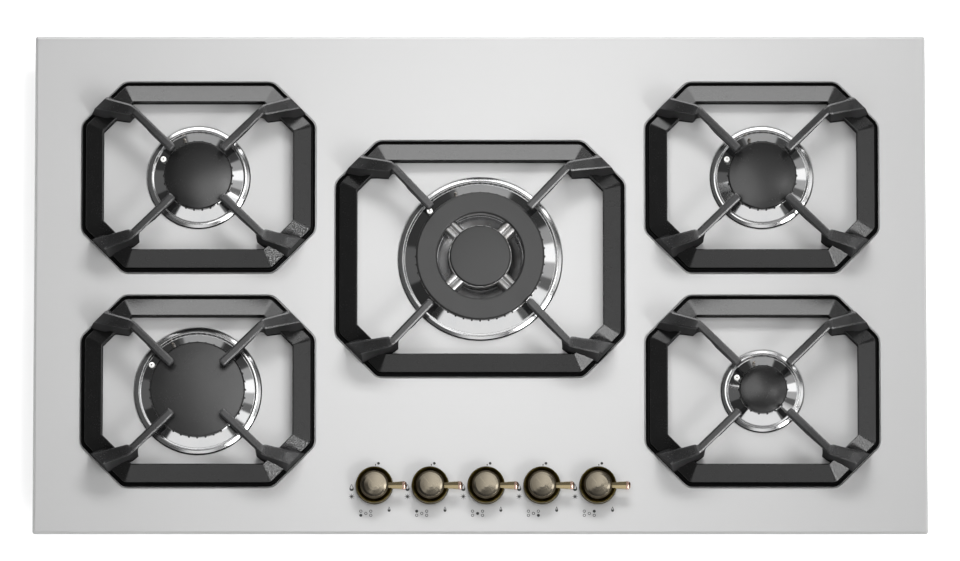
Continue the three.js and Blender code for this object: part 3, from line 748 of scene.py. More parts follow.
class Form:
    """Mesh in the making: points in millimetres and the faces between them."""

    def __init__(self) -> None:
        """Start with nothing."""
        self.points: list[Vector] = []
        self.faces: list[tuple[int, ...]] = []

    def row(self, points: Iterable[Sequence[float]]) -> list[int]:
        """Add points.

        Args:
            points: places in millimetres.

        Returns:
            Their numbers.
        """
        start = len(self.points)
        self.points.extend(Vector(p) for p in points)
        return list(range(start, len(self.points)))

    def level(self, outline: Iterable[Flat], z: float, shift: Flat = (0.0, 0.0)) -> list[int]:
        """Add an outline at one height."""
        return self.row((x + shift[0], y + shift[1], z) for x, y in outline)

    def skin(self, rows: Sequence[Sequence[int]], closed: bool = False) -> None:
        """Faces between neighbouring loops.

        Args:
            rows: loops of equal length.
            closed: whether the last loop meets the first.
        """
        nexts = list(rows[1:]) + ([rows[0]] if closed else [])
        for low, high in zip(rows, nexts):
            for i in range(len(low)):
                j = (i + 1) % len(low)
                face = tuple(dict.fromkeys((low[i], low[j], high[j], high[i])))
                if len(face) > 2:
                    self.faces.append(face)

    def sheet(self, loops: Sequence[Sequence[int]]) -> None:
        """Flat faces between an outer loop and the holes in it.

        Args:
            loops: the outer loop, then its holes.
        """
        numbers = [n for loop in loops for n in loop]
        outlines = [[self.points[n] for n in loop] for loop in loops]
        for triangle in tessellate_polygon(outlines):
            self.faces.append(tuple(numbers[i] for i in triangle))

    def turned(
        self, profile: Sequence[Flat], segments: int = 96, centre: Spot = (0.0, 0.0, 0.0), closed: bool = False
    ) -> "Form":
        """Turn a profile of radius and height about an upright axis.

        Args:
            profile: its points; a radius of 0 is one point on the axis.
            segments: facets round the axis.
            centre: foot of the axis.
            closed: whether the profile is a loop.

        Returns:
            The form itself.
        """
        rows = []
        for radius, z in profile:
            if radius < TINY:
                rows.append(self.row([(centre[0], centre[1], centre[2] + z)]) * segments)
                continue
            circle = (polar(radius, 360 * i / segments) for i in range(segments))
            rows.append(self.row((centre[0] + x, centre[1] + y, centre[2] + z) for x, y in circle))
        self.skin(rows, closed=closed)
        return self

    def lathed(self, profile: Sequence[Spot], steps: int = 4, segments: int = 128, closed: bool = False) -> "Form":
        """Turn a profile after its corners are rounded."""
        return self.turned(rounded(profile, steps, closed), segments, closed=closed)

    def loft(self, sections: Sequence[Sequence[Sequence[float]]]) -> "Form":
        """Skin over sections, its ends closed.

        Args:
            sections: loops of places, all of equal length.

        Returns:
            The form itself.
        """
        rows = [self.row(section) for section in sections]
        self.skin(rows)
        self.faces.extend([tuple(rows[0][::-1]), tuple(rows[-1])])
        return self

    def add(self, other: "Form") -> None:
        """Take in another form.

        Args:
            other: the form whose points and faces are copied.
        """
        start = len(self.points)
        self.points.extend(other.points)
        self.faces.extend(tuple(n + start for n in face) for face in other.faces)

    def mirrored(self, x: int, y: int) -> "Form":
        """Copy in another quadrant.

        Args:
            x: -1 where x is turned round, else 1.
            y: -1 where y is turned round, else 1.

        Returns:
            The copy, its faces still outwards.
        """
        copy = Form()
        copy.points = [Vector((p.x * x, p.y * y, p.z)) for p in self.points]
        copy.faces = list(self.faces) if x * y > 0 else [tuple(reversed(face)) for face in self.faces]
        return copy

    def mesh(self, name: str, finish: Finish) -> bpy.types.Mesh:
        """Blender mesh of the form.

        Args:
            name: the mesh's name.
            finish: finish of all its faces.

        Returns:
            The mesh, in metres.
        """
        mesh = bpy.data.meshes.new(name)
        mesh.from_pydata([p * MM for p in self.points], [], self.faces)
        mesh.materials.append(finish.material())
        return mesh


def placed(name: str, data: bpy.types.ID) -> bpy.types.Object:
    """New object in the scene.

    Args:
        name: its name.
        data: its mesh, light or camera.

    Returns:
        The object.
    """
    thing = bpy.data.objects.new(name, data)
    bpy.context.scene.collection.objects.link(thing)
    return thing


@dataclass
class Workshop:
    """Turns forms into objects that ride on the frame's bodies."""

    body: str
    made: list[str] = field(default_factory=list)

    def make(
        self, name: str, form: Form, finish: Finish, at: Spot = (0.0, 0.0, 0.0),
        body: str | None = None, instead_of: str = "", crease: float = 38.0, wall: float = 0.0,
    ) -> None:
        """Make one piece.

        Args:
            name: the piece's name.
            form: its mesh, in millimetres from at.
            finish: its finish.
            at: the object's place in millimetres.
            body: the body it rides on, if not the workshop's own.
            instead_of: CAD node that it replaces, if any.
            crease: edges that turn by more degrees than this stay sharp.
            wall: thickness in millimetres that a sheet is given, towards its inside.
        """
        mesh = form.mesh(name, finish)
        work = bmesh.new()
        work.from_mesh(mesh)
        bmesh.ops.remove_doubles(work, verts=work.verts, dist=MERGE)
        bmesh.ops.dissolve_degenerate(work, dist=MERGE / 10, edges=work.edges)
        bmesh.ops.recalc_face_normals(work, faces=work.faces)
        for edge in work.edges:
            edge.smooth = len(edge.link_faces) == 2 and edge.calc_face_angle(0.0) < math.radians(crease)
        for face in work.faces:
            face.smooth = True
        work.to_mesh(mesh)
        work.free()
        piece = placed(name, mesh)
        piece.location = Vector(at) * MM
        if wall:
            shell = piece.modifiers.new("wall", "SOLIDIFY")
            shell.thickness = wall * MM
            shell.offset = -1.0
        smooth = piece.modifiers.new("flat_faces", "WEIGHTED_NORMAL")
        smooth.keep_sharp = True
        smooth.weight = 100
        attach(piece, body or self.body)
        if instead_of:
            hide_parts(instead_of)
        self.made.append(name)
        LOG.info("%s: %d faces", name, len(mesh.polygons))

    def dress(self, node: str, finish: Finish) -> None:
        """Give a CAD node its finish.

        Args:
            node: the node's name.
            finish: the finish for all its faces.
        """
        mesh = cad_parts[node].data
        mesh.materials.clear()
        mesh.materials.append(finish.material())
        LOG.info("%s: finish only", node)


# ------------------------------------------------------------------ sizes shared by the pieces

PLATE_TOP = 48.0
SEAT_FACE = 46.8
SUPPORT_FOOT = 47.1
SUPPORT_CHAMFER = 42.0
SUPPORT_CORNER = 12.0
CAP_RIM = 3.4
CAP_GAP = 0.3
RING_CAP_INNER = 42.8
MIDDLE_CAP = 30.5
DIAGONAL = math.sqrt(0.5)
ROOT_BODY = "hob_body"


@dataclass(frozen=True)
class SupportSize:
    """Outline of a pan support and the plan of its first finger."""

    half: Flat
    tip: Flat
    bend: Flat


SIDE_SUPPORT = SupportSize((116.5, 95.75), (24.0, 23.0), (64.0, 61.8))
CENTRE_SUPPORT = SupportSize((144.4, 118.5), (48.0, 46.5), (87.0, 87.4))


@dataclass(frozen=True)
class BurnerSize:
    """Radii of a burner and heights above the plate."""

    cap: float
    cup: float
    ports: int
    cap_top: float
    dome: float


SEMI_RAPID = BurnerSize(34.3, 52.0, 26, 22.0, 2.6)
RAPID = BurnerSize(47.5, 64.0, 36, 21.0, 1.6)
AUXILIARY = BurnerSize(24.1, 41.8, 18, 24.0, 3.0)
TRIPLE = BurnerSize(64.0, 82.4, 48, 25.5, 0.8)


@dataclass(frozen=True)
class Station:
    """One burner's place with its sizes, the angles of its probes and how much its support is rubbed down."""

    name: str
    x: float
    y: float
    support: SupportSize
    size: BurnerSize
    spark: float
    sensor: float
    fettled: float = 0.0


STATIONS = (
    Station("front_left", -281.0, -107.3, SIDE_SUPPORT, RAPID, 151.0, 118.0, fettled=0.8),
    Station("rear_left", -281.0, 107.3, SIDE_SUPPORT, SEMI_RAPID, 154.0, 111.0, fettled=1.0),
    Station("centre", 0.0, 25.5, CENTRE_SUPPORT, TRIPLE, 137.0, 111.0),
    Station("front_right", 281.0, -107.3, SIDE_SUPPORT, AUXILIARY, 154.0, 108.0),
    Station("rear_right", 281.0, 107.3, SIDE_SUPPORT, SEMI_RAPID, 154.0, 109.0),
)
KNOB_MIDDLE = (5.9, -202.0)
KNOB_PITCH = 55.5
KNOB_PLACES = tuple((KNOB_MIDDLE[0] + (i - 2) * KNOB_PITCH, KNOB_MIDDLE[1]) for i in range(5))


# ------------------------------------------------------------------ sub-assemblies


@dataclass
class TopPlate:
    """Pressed steel plate with its folded rim and the shallow seats of the pan supports."""

    half: Flat = (445.0, 250.0)
    corner: float = 2.5
    rim_foot: float = 43.0
    sheet: float = 1.2
    cup_lap: float = 8.5
    spindle_hole: float = 6.0

    def form(self) -> Form:
        """Mesh of the sheet's outer face.

        Returns:
            An open sheet, thickened later.
        """
        form = Form()
        rim = [(0.0, self.rim_foot), (0.0, 45.3), (0.15, 45.75), (0.5, 46.15), (2.1, 47.65), (2.5, 47.9), (3.0, 48.0)]
        step = [(-1.5, 48.0), (-1.2, 47.95), (-0.95, 47.8), (-0.7, 47.1), (-0.5, 46.9), (-0.3, 46.8)]
        rows = [form.level(rectangle(self.half, self.corner, inset), z) for inset, z in rim]
        form.skin(rows)
        holes = []
        for s in STATIONS:
            at = (s.x, s.y)
            edge = [(octagon(s.support.half, SUPPORT_CHAMFER, SUPPORT_CORNER, inset), z) for inset, z in step]
            loops = [form.level(outline, z, at) for outline, z in edge]
            form.skin(loops)
            holes.append(loops[0])
            cup = form.level(arc((0.0, 0.0), s.size.cup - self.cup_lap, 0, 360 - 3.75, 95), SEAT_FACE, at)
            form.sheet([loops[-1], cup])
        for place in KNOB_PLACES:
            holes.append(form.level(arc((0.0, 0.0), self.spindle_hole, 0, 345, 23), PLATE_TOP, place))
        form.sheet([rows[-1], *holes])
        return form

    def build(self, shop: Workshop) -> None:
        """Make the plate."""
        shop.make(
            "plate", self.form(), BrushedSteel(), instead_of="top_plate", wall=self.sheet, crease=60,
        )


@dataclass
class Section:
    """One cross-section of a finger, as plan vectors and heights."""

    at: Vector
    across: Sequence[float]
    top: float
    foot: float
    width: float
    draft: float = 0.0
    lean: Flat = (0.0, 0.0)

    def points(self) -> list[Spot]:
        """Corners of the section: a flat top with rounded edges, sides that lean out to the foot.

        Returns:
            The loop of points.
        """
        half = self.width / 2
        ease = min(1.9, half * 0.5)
        outline = [
            (-half - self.draft, self.foot, 1.0), (half + self.draft, self.foot, 1.0),
            (half, self.top - ease, 0.15), (half - ease * 0.22, self.top - ease * 0.32, 0.05),
            (half - ease, self.top, 0.0), (ease - half, self.top, 0.0),
            (ease * 0.22 - half, self.top - ease * 0.32, 0.05), (-half, self.top - ease, 0.15),
        ]
        (x, y), (ax, ay), (lx, ly) = self.at, self.across, self.lean
        return [(x + ax * side + lx * low, y + ay * side + ly * low, z) for side, z, low in outline]


@dataclass
class PanSupport:
    """Cast ring with four cranked fingers."""

    size: SupportSize
    top: float = 90.0
    ring_width: float = 22.0
    inner_height: float = 16.0
    finger_width: float = 8.2
    shoulder: float = 11.0
    root_width: float = 13.4
    tip_depth: float = 9.0
    bend_depth: float = 12.0
    root_top: float = 78.0
    draft: float = 2.4
    setback: float = 1.6

    def ring(self) -> Form:
        """Ring whose face rises inwards behind a low lip.

        Returns:
            The ring.
        """
        form = Form()
        low, width, inner = SUPPORT_FOOT, self.ring_width, self.inner_height
        profile = rounded(
            [
                (0.1, low, 0.3), (0.3, low + 3.6, 0.5), (1.3, low + 4.4, 0.5), (2.2, low + 1.6, 0.6),
                (3.6, low + 1.8, 0.6), (4.3, low + 7.2, 0.7), (width - 0.8, low + inner, 1.0),
                (width, low + inner - 1.2, 0.8), (width, low, 0.3), (width - 3.4, low, 0.3),
                (width - 3.6, low + inner - 4.6, 1.0), (6.0, low + 2.2, 1.0), (5.4, low, 0.3),
            ],
            3, True,
        )
        rows = [form.level(octagon(self.size.half, SUPPORT_CHAMFER, SUPPORT_CORNER, inset), z) for inset, z in profile]
        form.skin(rows, closed=True)
        return form

    def finger(self) -> Form:
        """Finger of the first quadrant, from its tip over the burner to its root on the ring.

        Returns:
            The finger.
        """
        tip, bend, top = Vector(self.size.tip), Vector(self.size.bend), self.top
        along = (bend - tip).normalized()
        reach = (bend - tip).length
        across = (along.y, -along.x)
        inward = self.setback * DIAGONAL
        root = Vector([half - SUPPORT_CHAMFER / 2 - inward for half in self.size.half])
        root += Vector((DIAGONAL, -DIAGONAL)) * 4.0
        outward = (root - bend).normalized()
        run = (root - bend).length
        side = (outward.y, -outward.x)
        width, low, foot = self.finger_width, top - self.tip_depth, SUPPORT_FOOT
        knee, knee_low = reach - 7.0, top - self.bend_depth
        sections = [
            Section(tip, across, top - 2.6, low + 3.0, width * 0.45),
            Section(tip + along * 0.5, across, top - 1.1, low + 1.2, width * 0.75),
            Section(tip + along * 1.4, across, top - 0.3, low + 0.2, width * 0.94),
            Section(tip + along * 2.8, across, top, low, width),
            Section(tip + along * (knee * 0.6), across, top, low - 1.6, width),
        ]
        for t in (0.0, 0.2, 0.4, 0.6, 0.8, 1.0):
            drop = 1 - math.sqrt(max(0.0, 1 - t * t))
            under = knee_low + (foot + 4 - knee_low) * drop
            sections.append(Section(tip + along * (knee + 5.6 * t), across, top, under, width, 4.4 * t - 2.2))
        for t in (0.1, 0.35, 0.65, 0.9):
            mixed = Vector(across).lerp(Vector(side), t).normalized()
            place = (tip + along * (reach - 1.6)).lerp(bend + outward * 3.0, t)
            wide = width + (self.shoulder - width) * t**1.5
            sections.append(Section(place, mixed, top - 0.3 * t, foot + 3 - 2 * t, wide, self.draft))
        for t, flare in ((0.16, 2.4), (0.4, 3.2), (0.62, 4.6), (0.84, 6.5)):
            fall = (top - self.root_top) * t**1.2
            wide = self.shoulder + (self.root_width - self.shoulder) * t
            sections.append(Section(bend + outward * (run * t), side, top - fall * 0.9, foot + 0.4, wide, flare))
        lean, wide = (inward * 0.85, inward * 0.85), self.root_width * 1.2
        sections.append(Section(root, (DIAGONAL, -DIAGONAL), self.root_top, foot + 1, wide, 5.0, lean))
        return Form().loft([section.points() for section in sections])

    def form(self) -> Form:
        """Ring and its four fingers.

        Returns:
            The pan support.
        """
        form, finger = self.ring(), self.finger()
        for x, y in QUADRANTS:
            form.add(finger.mirrored(x, y))
        return form


@dataclass
class BurnerCup:
    """Pressed cup with a rolled bead and a polished cone up to the burner."""

    size: BurnerSize
    crest_inset: float = 5.6
    bead_width: float = 1.5
    slope: float = 17.0

    @property
    def bead(self) -> float:
        """Inner radius of the bead."""
        return self.size.cup - self.crest_inset - self.bead_width

    def form(self) -> Form:
        """Mesh of the cup with its well and foot.

        Returns:
            The cup.
        """
        cup, cap, under = self.size.cup, self.size.cap, SUPPORT_FOOT
        crest, lip = cup - self.crest_inset, cap - 5.0
        foot = crest - 1.6
        rise = math.tan(math.radians(self.slope))
        return Form().lathed(
            [
                (0.0, 1.5, 0.0), (12.0, 1.5, 0.5), (16.6, 14.0, 1.0), (16.6, 32.0, 2.0), (cap - 6.6, 42.0, 1.0),
                (cap - 3.4, 46.0, 1.0), (foot - 0.4, 45.6, 0.5), (foot + 0.6, under, 0.3), (cup, under, 0.1),
                (cup, under + 0.5, 0.3), (cup - 1.3, under + 1.8, 0.9), (cup - 4.1, under + 3.0, 1.0),
                (crest, under + 3.25, 0.6), (foot, under + 0.2, 0.4),
                (lip, under + 0.2 + (foot - lip) * rise, 0.8), (cap - 6.5, under + 1.4, 0.5), (cap - 8.0, 44.0, 0.5),
                (15.0, 34.0, 2.0), (15.0, 16.0, 1.0), (0.0, 16.0, 0.0),
            ]
        )


@dataclass
class FlameSpreader:
    """Crown with a row of flame ports."""

    size: BurnerSize
    port_width: float = 2.6
    port_height: float = 4.6
    port_depth: float = 2.4
    skirt: float = 0.3
    wall: float = 3.4
    base: float = 41.0
    spigot: float = 14.7
    fin: float = 0.9

    @property
    def top(self) -> float:
        """Height of the crown's edge above the tray's underside."""
        return PLATE_TOP + self.size.cap_top - self.size.dome - CAP_RIM - CAP_GAP

    @property
    def shoulder(self) -> float:
        """Height of the crown's foot."""
        return self.top - self.port_height - 4.0

    def crown(self, outer: float, ports: int) -> Form:
        """Upright ring whose upper edge has ports in its outer face.

        Args:
            outer: radius of the outer face.
            ports: number of ports.

        Returns:
            The ring.
        """
        form = Form()
        half = math.degrees(self.port_width / 2 / outer)
        columns: list[Flat] = []
        for i in range(ports):
            middle = (i + 0.5) * 360 / ports
            gap = 360 / ports - 2 * half
            columns.extend((middle - half - gap * t, 0.0) for t in (0.75, 0.5, 0.25, 0.0))
            columns.extend((middle + half * t, 1.0) for t in (-1.0, -0.35, 0.35, 1.0))
            columns.append((middle + half, 0.0))
        bottom, inner = self.top - self.port_height, outer - self.wall
        levels = [
            (outer, self.shoulder, 0.0), (outer, bottom, 0.0), (outer, bottom, self.port_depth),
            (outer, self.top, self.port_depth), (inner, self.top, 0.0), (inner, self.shoulder, 0.0),
        ]
        rows = [
            form.row((*polar(radius - depth * notch, angle), z) for angle, notch in columns)
            for radius, z, depth in levels
        ]
        form.skin(rows, closed=True)
        return form

    def fins(self) -> Form:
        """Small fins between the ports, just showing past the cap, whose black finish paints the shade under the cap's
        edge.

        Returns:
            The row of fins.
        """
        form = Form()
        start, end = self.size.cap - self.skirt - 1.0, self.size.cap + self.fin
        low, high = self.top - self.port_height - 1.0, self.top - 1.0
        for i in range(self.size.ports):
            turn = math.tau * i / self.size.ports
            c, s = math.cos(turn), math.sin(turn)
            form.loft(
                [
                    [
                        (c * r - s * w, s * r + c * w, z)
                        for w, z in ((-half, low), (half, low), (half, high - drop), (-half, high - drop))
                    ]
                    for r, half, drop in ((start, 0.9, 0.0), (end - 0.4, 0.9, 0.0), (end, 0.6, 0.4))
                ]
            )
        return form

    def form(self) -> Form:
        """Crown, its wall down to the bowl and its spigot.

        Returns:
            The spreader.
        """
        edge, floor = self.size.cap - self.skirt, self.size.cap - 5.0
        base, spigot, shoulder = self.base, self.spigot, self.shoulder
        form = self.crown(edge, self.size.ports)
        return form.lathed(
            [
                (spigot, base - 14, 0.3), (spigot, base - 4.6, 0.6), (floor - 4, base + 5.4, 0.5),
                (floor - 1, base + 10.4, 1.0), (edge - 0.2, shoulder + 0.6, 0.6), (edge - 1.4, shoulder + 1.6, 0.3),
                (edge - 3.6, shoulder + 0.8, 0.8), (floor - 3.4, base + 12, 0.6), (floor - 6, base + 7, 0.6),
                (spigot - 2, base - 1, 1.0), (spigot - 2, base - 14, 0.3),
            ],
            3, 96, True,
        )


@dataclass
class TripleSpreader(FlameSpreader):
    """Two crowns tied by four bridges."""

    inner_ports: int = 24
    bridge_width: float = 15.0

    def form(self) -> Form:
        """Crowns, trough and bridges.

        Returns:
            The spreader.
        """
        edge, inner, middle = self.size.cap - self.skirt, RING_CAP_INNER + 1.6, MIDDLE_CAP + 0.5
        base, spigot, shoulder, top = self.base, self.spigot, self.shoulder, self.top
        deck = base + 7
        form = self.crown(edge, self.size.ports)
        form.add(self.crown(middle, self.inner_ports))
        form.lathed(
            [(inner, shoulder, 0.2), (inner, top, 0.5), (inner + 3, top, 0.4), (inner + 3, shoulder, 0.2)],
            3, closed=True,
        )
        form.lathed(
            [
                (spigot, base - 14, 0.3), (spigot, base - 4.6, 0.8), (self.size.cap - 9, base + 5.4, 0.6),
                (self.size.cap - 6, base + 10.4, 1.0), (edge - 0.2, shoulder + 0.4, 0.6),
                (edge - 3.4, shoulder + 0.6, 0.3), (inner + 3, shoulder + 0.6, 0.3),
                (inner - 0.2, shoulder + 0.4, 0.3), (inner - 0.9, deck - 1.6, 1.0), (middle + 1, deck + 1.6, 1.0),
                (middle - 0.1, shoulder + 0.2, 0.5), (middle - 3, shoulder + 0.4, 0.4), (middle - 5, deck - 2, 1.0),
                (spigot - 2, base, 1.0), (spigot - 2, base - 14, 0.3),
            ],
            closed=True,
        )
        for angle in (45, 135, 225, 315):
            form.add(self.bridge(math.radians(angle), middle - 0.5, inner + 0.5, deck - 2))
        return form

    def bridge(self, turn: float, start: float, end: float, low: float) -> Form:
        """Two-lobed bridge between the crowns.

        Args:
            turn: its direction in radians.
            start: radius of its inner end.
            end: radius of its outer end.
            low: height of its foot.

        Returns:
            The bridge.
        """
        half, lobe, crest = self.bridge_width / 2, self.bridge_width / 4, self.top - 2.6
        lobes = [*arc((-lobe, crest), lobe, 180, 20, 7), *arc((lobe, crest), lobe, 160, 0, 7)]
        outline = [(-half, low), *lobes, (half, low)]
        c, s = math.cos(turn), math.sin(turn)
        radii = (start, (start + end) / 2, end)
        return Form().loft([[(r * c - side * s, r * s + side * c, z) for side, z in outline] for r in radii])


@dataclass
class BurnerCap:
    """Domed cap with a rolled edge."""

    radius: float
    size: BurnerSize

    def form(self) -> Form:
        """Mesh of the cap.

        Returns:
            The cap.
        """
        top, dome, r = PLATE_TOP + self.size.cap_top, self.size.dome, self.radius
        seat = top - dome - CAP_RIM
        dish = [(r * t * 0.93, top - dome * 0.86 * (t**2.2), 0.0) for t in (0.0, 0.2, 0.4, 0.6, 0.75, 0.87)]
        return Form().lathed(
            [
                *dish, (r - 1.3, top - dome * 0.95, 1.2), (r - 0.1, top - dome - 1.2, 1.0), (r, seat, 0.3),
                (r - 4.9, seat, 0.2), (r - 5.9, seat - 2.5, 0.3), (r - 7.4, top - dome - 2.6, 0.5),
                (0.0, top - 2.6, 0.0),
            ],
            5,
        )


@dataclass
class RingCap:
    """Flat ring cap of the triple crown."""

    inner: float
    outer: float
    size: BurnerSize

    def form(self) -> Form:
        """Mesh of the ring.

        Returns:
            The ring cap.
        """
        top, inner, outer = PLATE_TOP + self.size.cap_top, self.inner, self.outer
        seat = top - self.size.dome - CAP_RIM
        return Form().lathed(
            [
                (inner, seat, 0.3), (inner, top - 1.2, 0.8), (inner + 1.6, top, 1.2), (outer - 1.6, top, 1.2),
                (outer, top - 1.4, 0.9), (outer, seat, 0.3), (outer - 4.9, seat, 0.2), (outer - 5.2, seat - 2.5, 0.3),
                (inner + 5.2, seat - 2.5, 0.3), (inner + 4.9, seat, 0.2),
            ],
            5, closed=True,
        )


@dataclass
class Probes:
    """Spark electrode and flame sensor beside a cap; the profiles are radius, height and rounding."""

    offset: float = 4.6
    ceramic: tuple[Spot, ...] = (
        (0, 22, 0), (2.8, 22, 0.2), (2.8, 58.6, 0.8), (1.6, 59.6, 0.4), (0.8, 59.2, 0.2), (0, 59.2, 0),
    )
    pin: tuple[Spot, ...] = ((0, 57, 0), (0.8, 57, 0.1), (0.8, 61.2, 0.3), (0.4, 61.9, 0.2), (0, 61.9, 0))
    sensor: tuple[Spot, ...] = (
        (0, 22, 0), (1.7, 22, 0.1), (1.7, 52, 0.2), (1.55, 52.6, 0.2), (1.55, 59.8, 0.4), (1.0, 62.6, 0.5),
        (0.5, 63.9, 0.3), (0, 63.9, 0),
    )

    def build(self, s: Station, shop: Workshop) -> None:
        """Make both probes of a burner.

        Args:
            s: the burner's station.
            shop: where the pieces are made.
        """
        pieces = (
            ("spark_ceramic", self.ceramic, 28, s.spark, GlazedCeramic(), Slot.CERAMIC, f"spark_electrode_{s.name}"),
            ("spark_pin", self.pin, 20, s.spark, HeatedSteel(), Slot.POLISHED, ""),
            ("sensor_tip", self.sensor, 24, s.sensor, HeatedSteel(), Slot.POLISHED, f"flame_sensor_{s.name}"),
        )
        for kind, profile, segments, angle, finish, slot, node in pieces:
            dx, dy = polar(s.size.cap + self.offset, angle)
            form = Form().lathed(profile, 3, segments)
            shop.make(f"{kind}_{s.name}", form, finish, (s.x + dx, s.y + dy, 0.0), instead_of=node)


@dataclass
class Burner:
    """One burner: cup, spreader, caps and probes, with the pan support over it."""

    station: Station
    # Height below which the triple spreader is darker by soot and painted shade.
    soot: float = 51.5

    def build(self, shop: Workshop) -> None:
        """Make the burner's pieces.

        Args:
            shop: where they are made.
        """
        s, name = self.station, self.station.name
        at, cup, triple = (s.x, s.y, 0.0), BurnerCup(s.size), s.size is TRIPLE
        support, spreader = f"pan_support_{name}", f"flame_spreader_{name}"
        shop.make(
            f"grate_{name}", PanSupport(s.support).form(), CastEnamel(fettled=s.fettled), at,
            body=support, instead_of=support, crease=20,
        )
        shop.make(
            f"cup_{name}", cup.form(), PolishedSteel(bead=cup.bead * MM), at,
            instead_of=f"burner_cup_{name}",
        )
        crown = TripleSpreader(s.size) if triple else FlameSpreader(s.size)
        finish = CastAluminium(soot=self.soot * MM if triple else 0.0)
        shop.make(f"crown_{name}", crown.form(), finish, at, body=spreader, instead_of=spreader)
        # The fins' black finish is painted shade under the cap's edge.
        shop.make(f"port_fins_in_painted_shade_{name}", crown.fins(), CapEnamel(0.006, 0.5), at, body=spreader)
        cap = f"burner_cap_{name}"
        caps = [(f"cap_{name}", BurnerCap(s.size.cap, s.size), CapEnamel(), cap)]
        if triple:
            caps = [
                ("cap_outer_ring", RingCap(RING_CAP_INNER, s.size.cap, s.size), CapEnamel(0.0165, 0.40), f"{cap}_ring"),
                ("cap_middle", BurnerCap(MIDDLE_CAP, s.size), CapEnamel(0.0165, 0.40), f"{cap}_middle"),
            ]
        for piece, shape, finish, node in caps:
            shop.make(piece, shape.form(), finish, at, body=node, instead_of=node)
        Probes().build(s, shop)


@dataclass
class ControlKnob:
    """Round knob with a dark skirt, a brass face and a side lever."""

    name: str
    at: Flat
    base: float = 52.0
    bore: float = 4.3
    radius: float = 18.2
    face: float = 14.0
    height: float = 15.5
    rim: float = 12.0
    reach: float = 32.2

    def skirt(self) -> Form:
        """Skirt with its upper rim and the groove round the face.

        Returns:
            The skirt.
        """
        r, face, rim, bore = self.radius, self.face, self.rim, self.bore
        return Form().lathed(
            [
                (bore, 0.0, 0.2), (r + 0.5, 0.0, 0.3), (r + 0.5, 1.2, 0.5), (r - 0.1, 2.6, 0.8), (r, 11.0, 0.6),
                (r - 0.9, rim, 0.5), (face + 0.9, rim - 2.6, 0.8), (face - 0.6, rim - 3.4, 0.3),
                (bore, rim - 3.4, 0.2),
            ],
            4, 96, True,
        )

    def bevel(self) -> Form:
        """Dark bevel round the face.

        Returns:
            The bevel ring.
        """
        r, top, low = self.face, self.height, self.rim - 3.6
        return Form().lathed(
            [
                (r - 3.2, low, 0.1), (r, low, 0.1), (r, top - 2.9, 0.4), (r - 1.7, top - 1.5, 0.3),
                (r - 3.2, top - 1.9, 0.1),
            ],
            4, 96, True,
        )

    def cap(self) -> Form:
        """Slightly domed face of the knob.

        Returns:
            The face.
        """
        r, top = self.face - 1.8, self.height
        return Form().lathed(
            [
                (0.0, top - 3.0, 0.0), (r, top - 3.0, 0.1), (r, top - 0.92, 0.2), (r * 0.82, top - 0.62, 1.2),
                (r * 0.5, top - 0.28, 1.5), (r * 0.25, top - 0.08, 1.0), (0.0, top, 0.0),
            ],
            4, 96,
        )

    def lever(self) -> Form:
        """Tapered round lever that points to the right at rest."""
        return self._bar([(self.face - 0.6, 3.1), (self.face + 0.8, 3.3), (self.radius, 3.5), (self.reach - 4.4, 4.2)])

    def tip(self) -> Form:
        """Rounded copper end of the lever."""
        shape = ((4.4, 3.9), (4.3, 4.25), (3.0, 4.3), (2.2, 4.2), (1.2, 3.7), (0.4, 2.9), (0.0, 2.1))
        return self._bar([(self.reach - back, radius) for back, radius in shape])

    def _bar(self, stations: Sequence[Flat]) -> Form:
        """Bar along x with a slightly roofed section.

        Args:
            stations: place along x and radius of each cross-section.

        Returns:
            The bar.
        """
        section = (
            (-0.02, 0.98), (-0.82, 0.71), (-0.95, 0.3), (-0.97, -0.1), (-0.85, -0.5), (-0.5, -0.86), (0.0, -0.98),
            (0.5, -0.86), (0.85, -0.5), (0.98, -0.1), (0.98, 0.3), (0.82, 0.67),
        )
        return Form().loft([[(x, y * r - 0.9, self.rim - 0.9 + z * r) for y, z in section] for x, r in stations])

    def build(self, shop: Workshop) -> None:
        """Make the knob's pieces and its spindle's finish.

        Args:
            shop: where they are made.
        """
        body = f"control_knob_{self.name}"
        pieces = (
            ("skirt", self.skirt(), AgedBrass((0.13, 0.10, 0.03), (0.05, 0.038, 0.012), 0.34), body, 38),
            ("bevel", self.bevel(), AgedBrass((0.20, 0.17, 0.12), (0.11, 0.09, 0.06), 0.36), "", 38),
            # The face's finish paints shade on its left side.
            ("face", self.cap(), AgedBrass((0.235, 0.207, 0.16), (0.215, 0.188, 0.143), 0.13, 0.85), "", 38),
            ("lever", self.lever(), AgedBrass((0.56, 0.46, 0.27), (0.46, 0.37, 0.21), 0.12), "", 26),
            ("tip", self.tip(), AgedBrass((0.52, 0.36, 0.29), (0.36, 0.23, 0.18), 0.26), "", 26),
        )
        for kind, form, finish, node, crease in pieces:
            shop.make(
                f"knob_{kind}_{self.name}", form, finish, (*self.at, self.base), body=body,
                instead_of=node, crease=crease,
            )
        shop.dress(f"tap_spindle_{self.name}", HeatedSteel())


class Mark(Enum):
    """Printed marks round a knob."""

    OFF = "off"
    HIGH = "high"
    LOW = "low"
    SPARK = "spark"
    BURNERS = "burners"


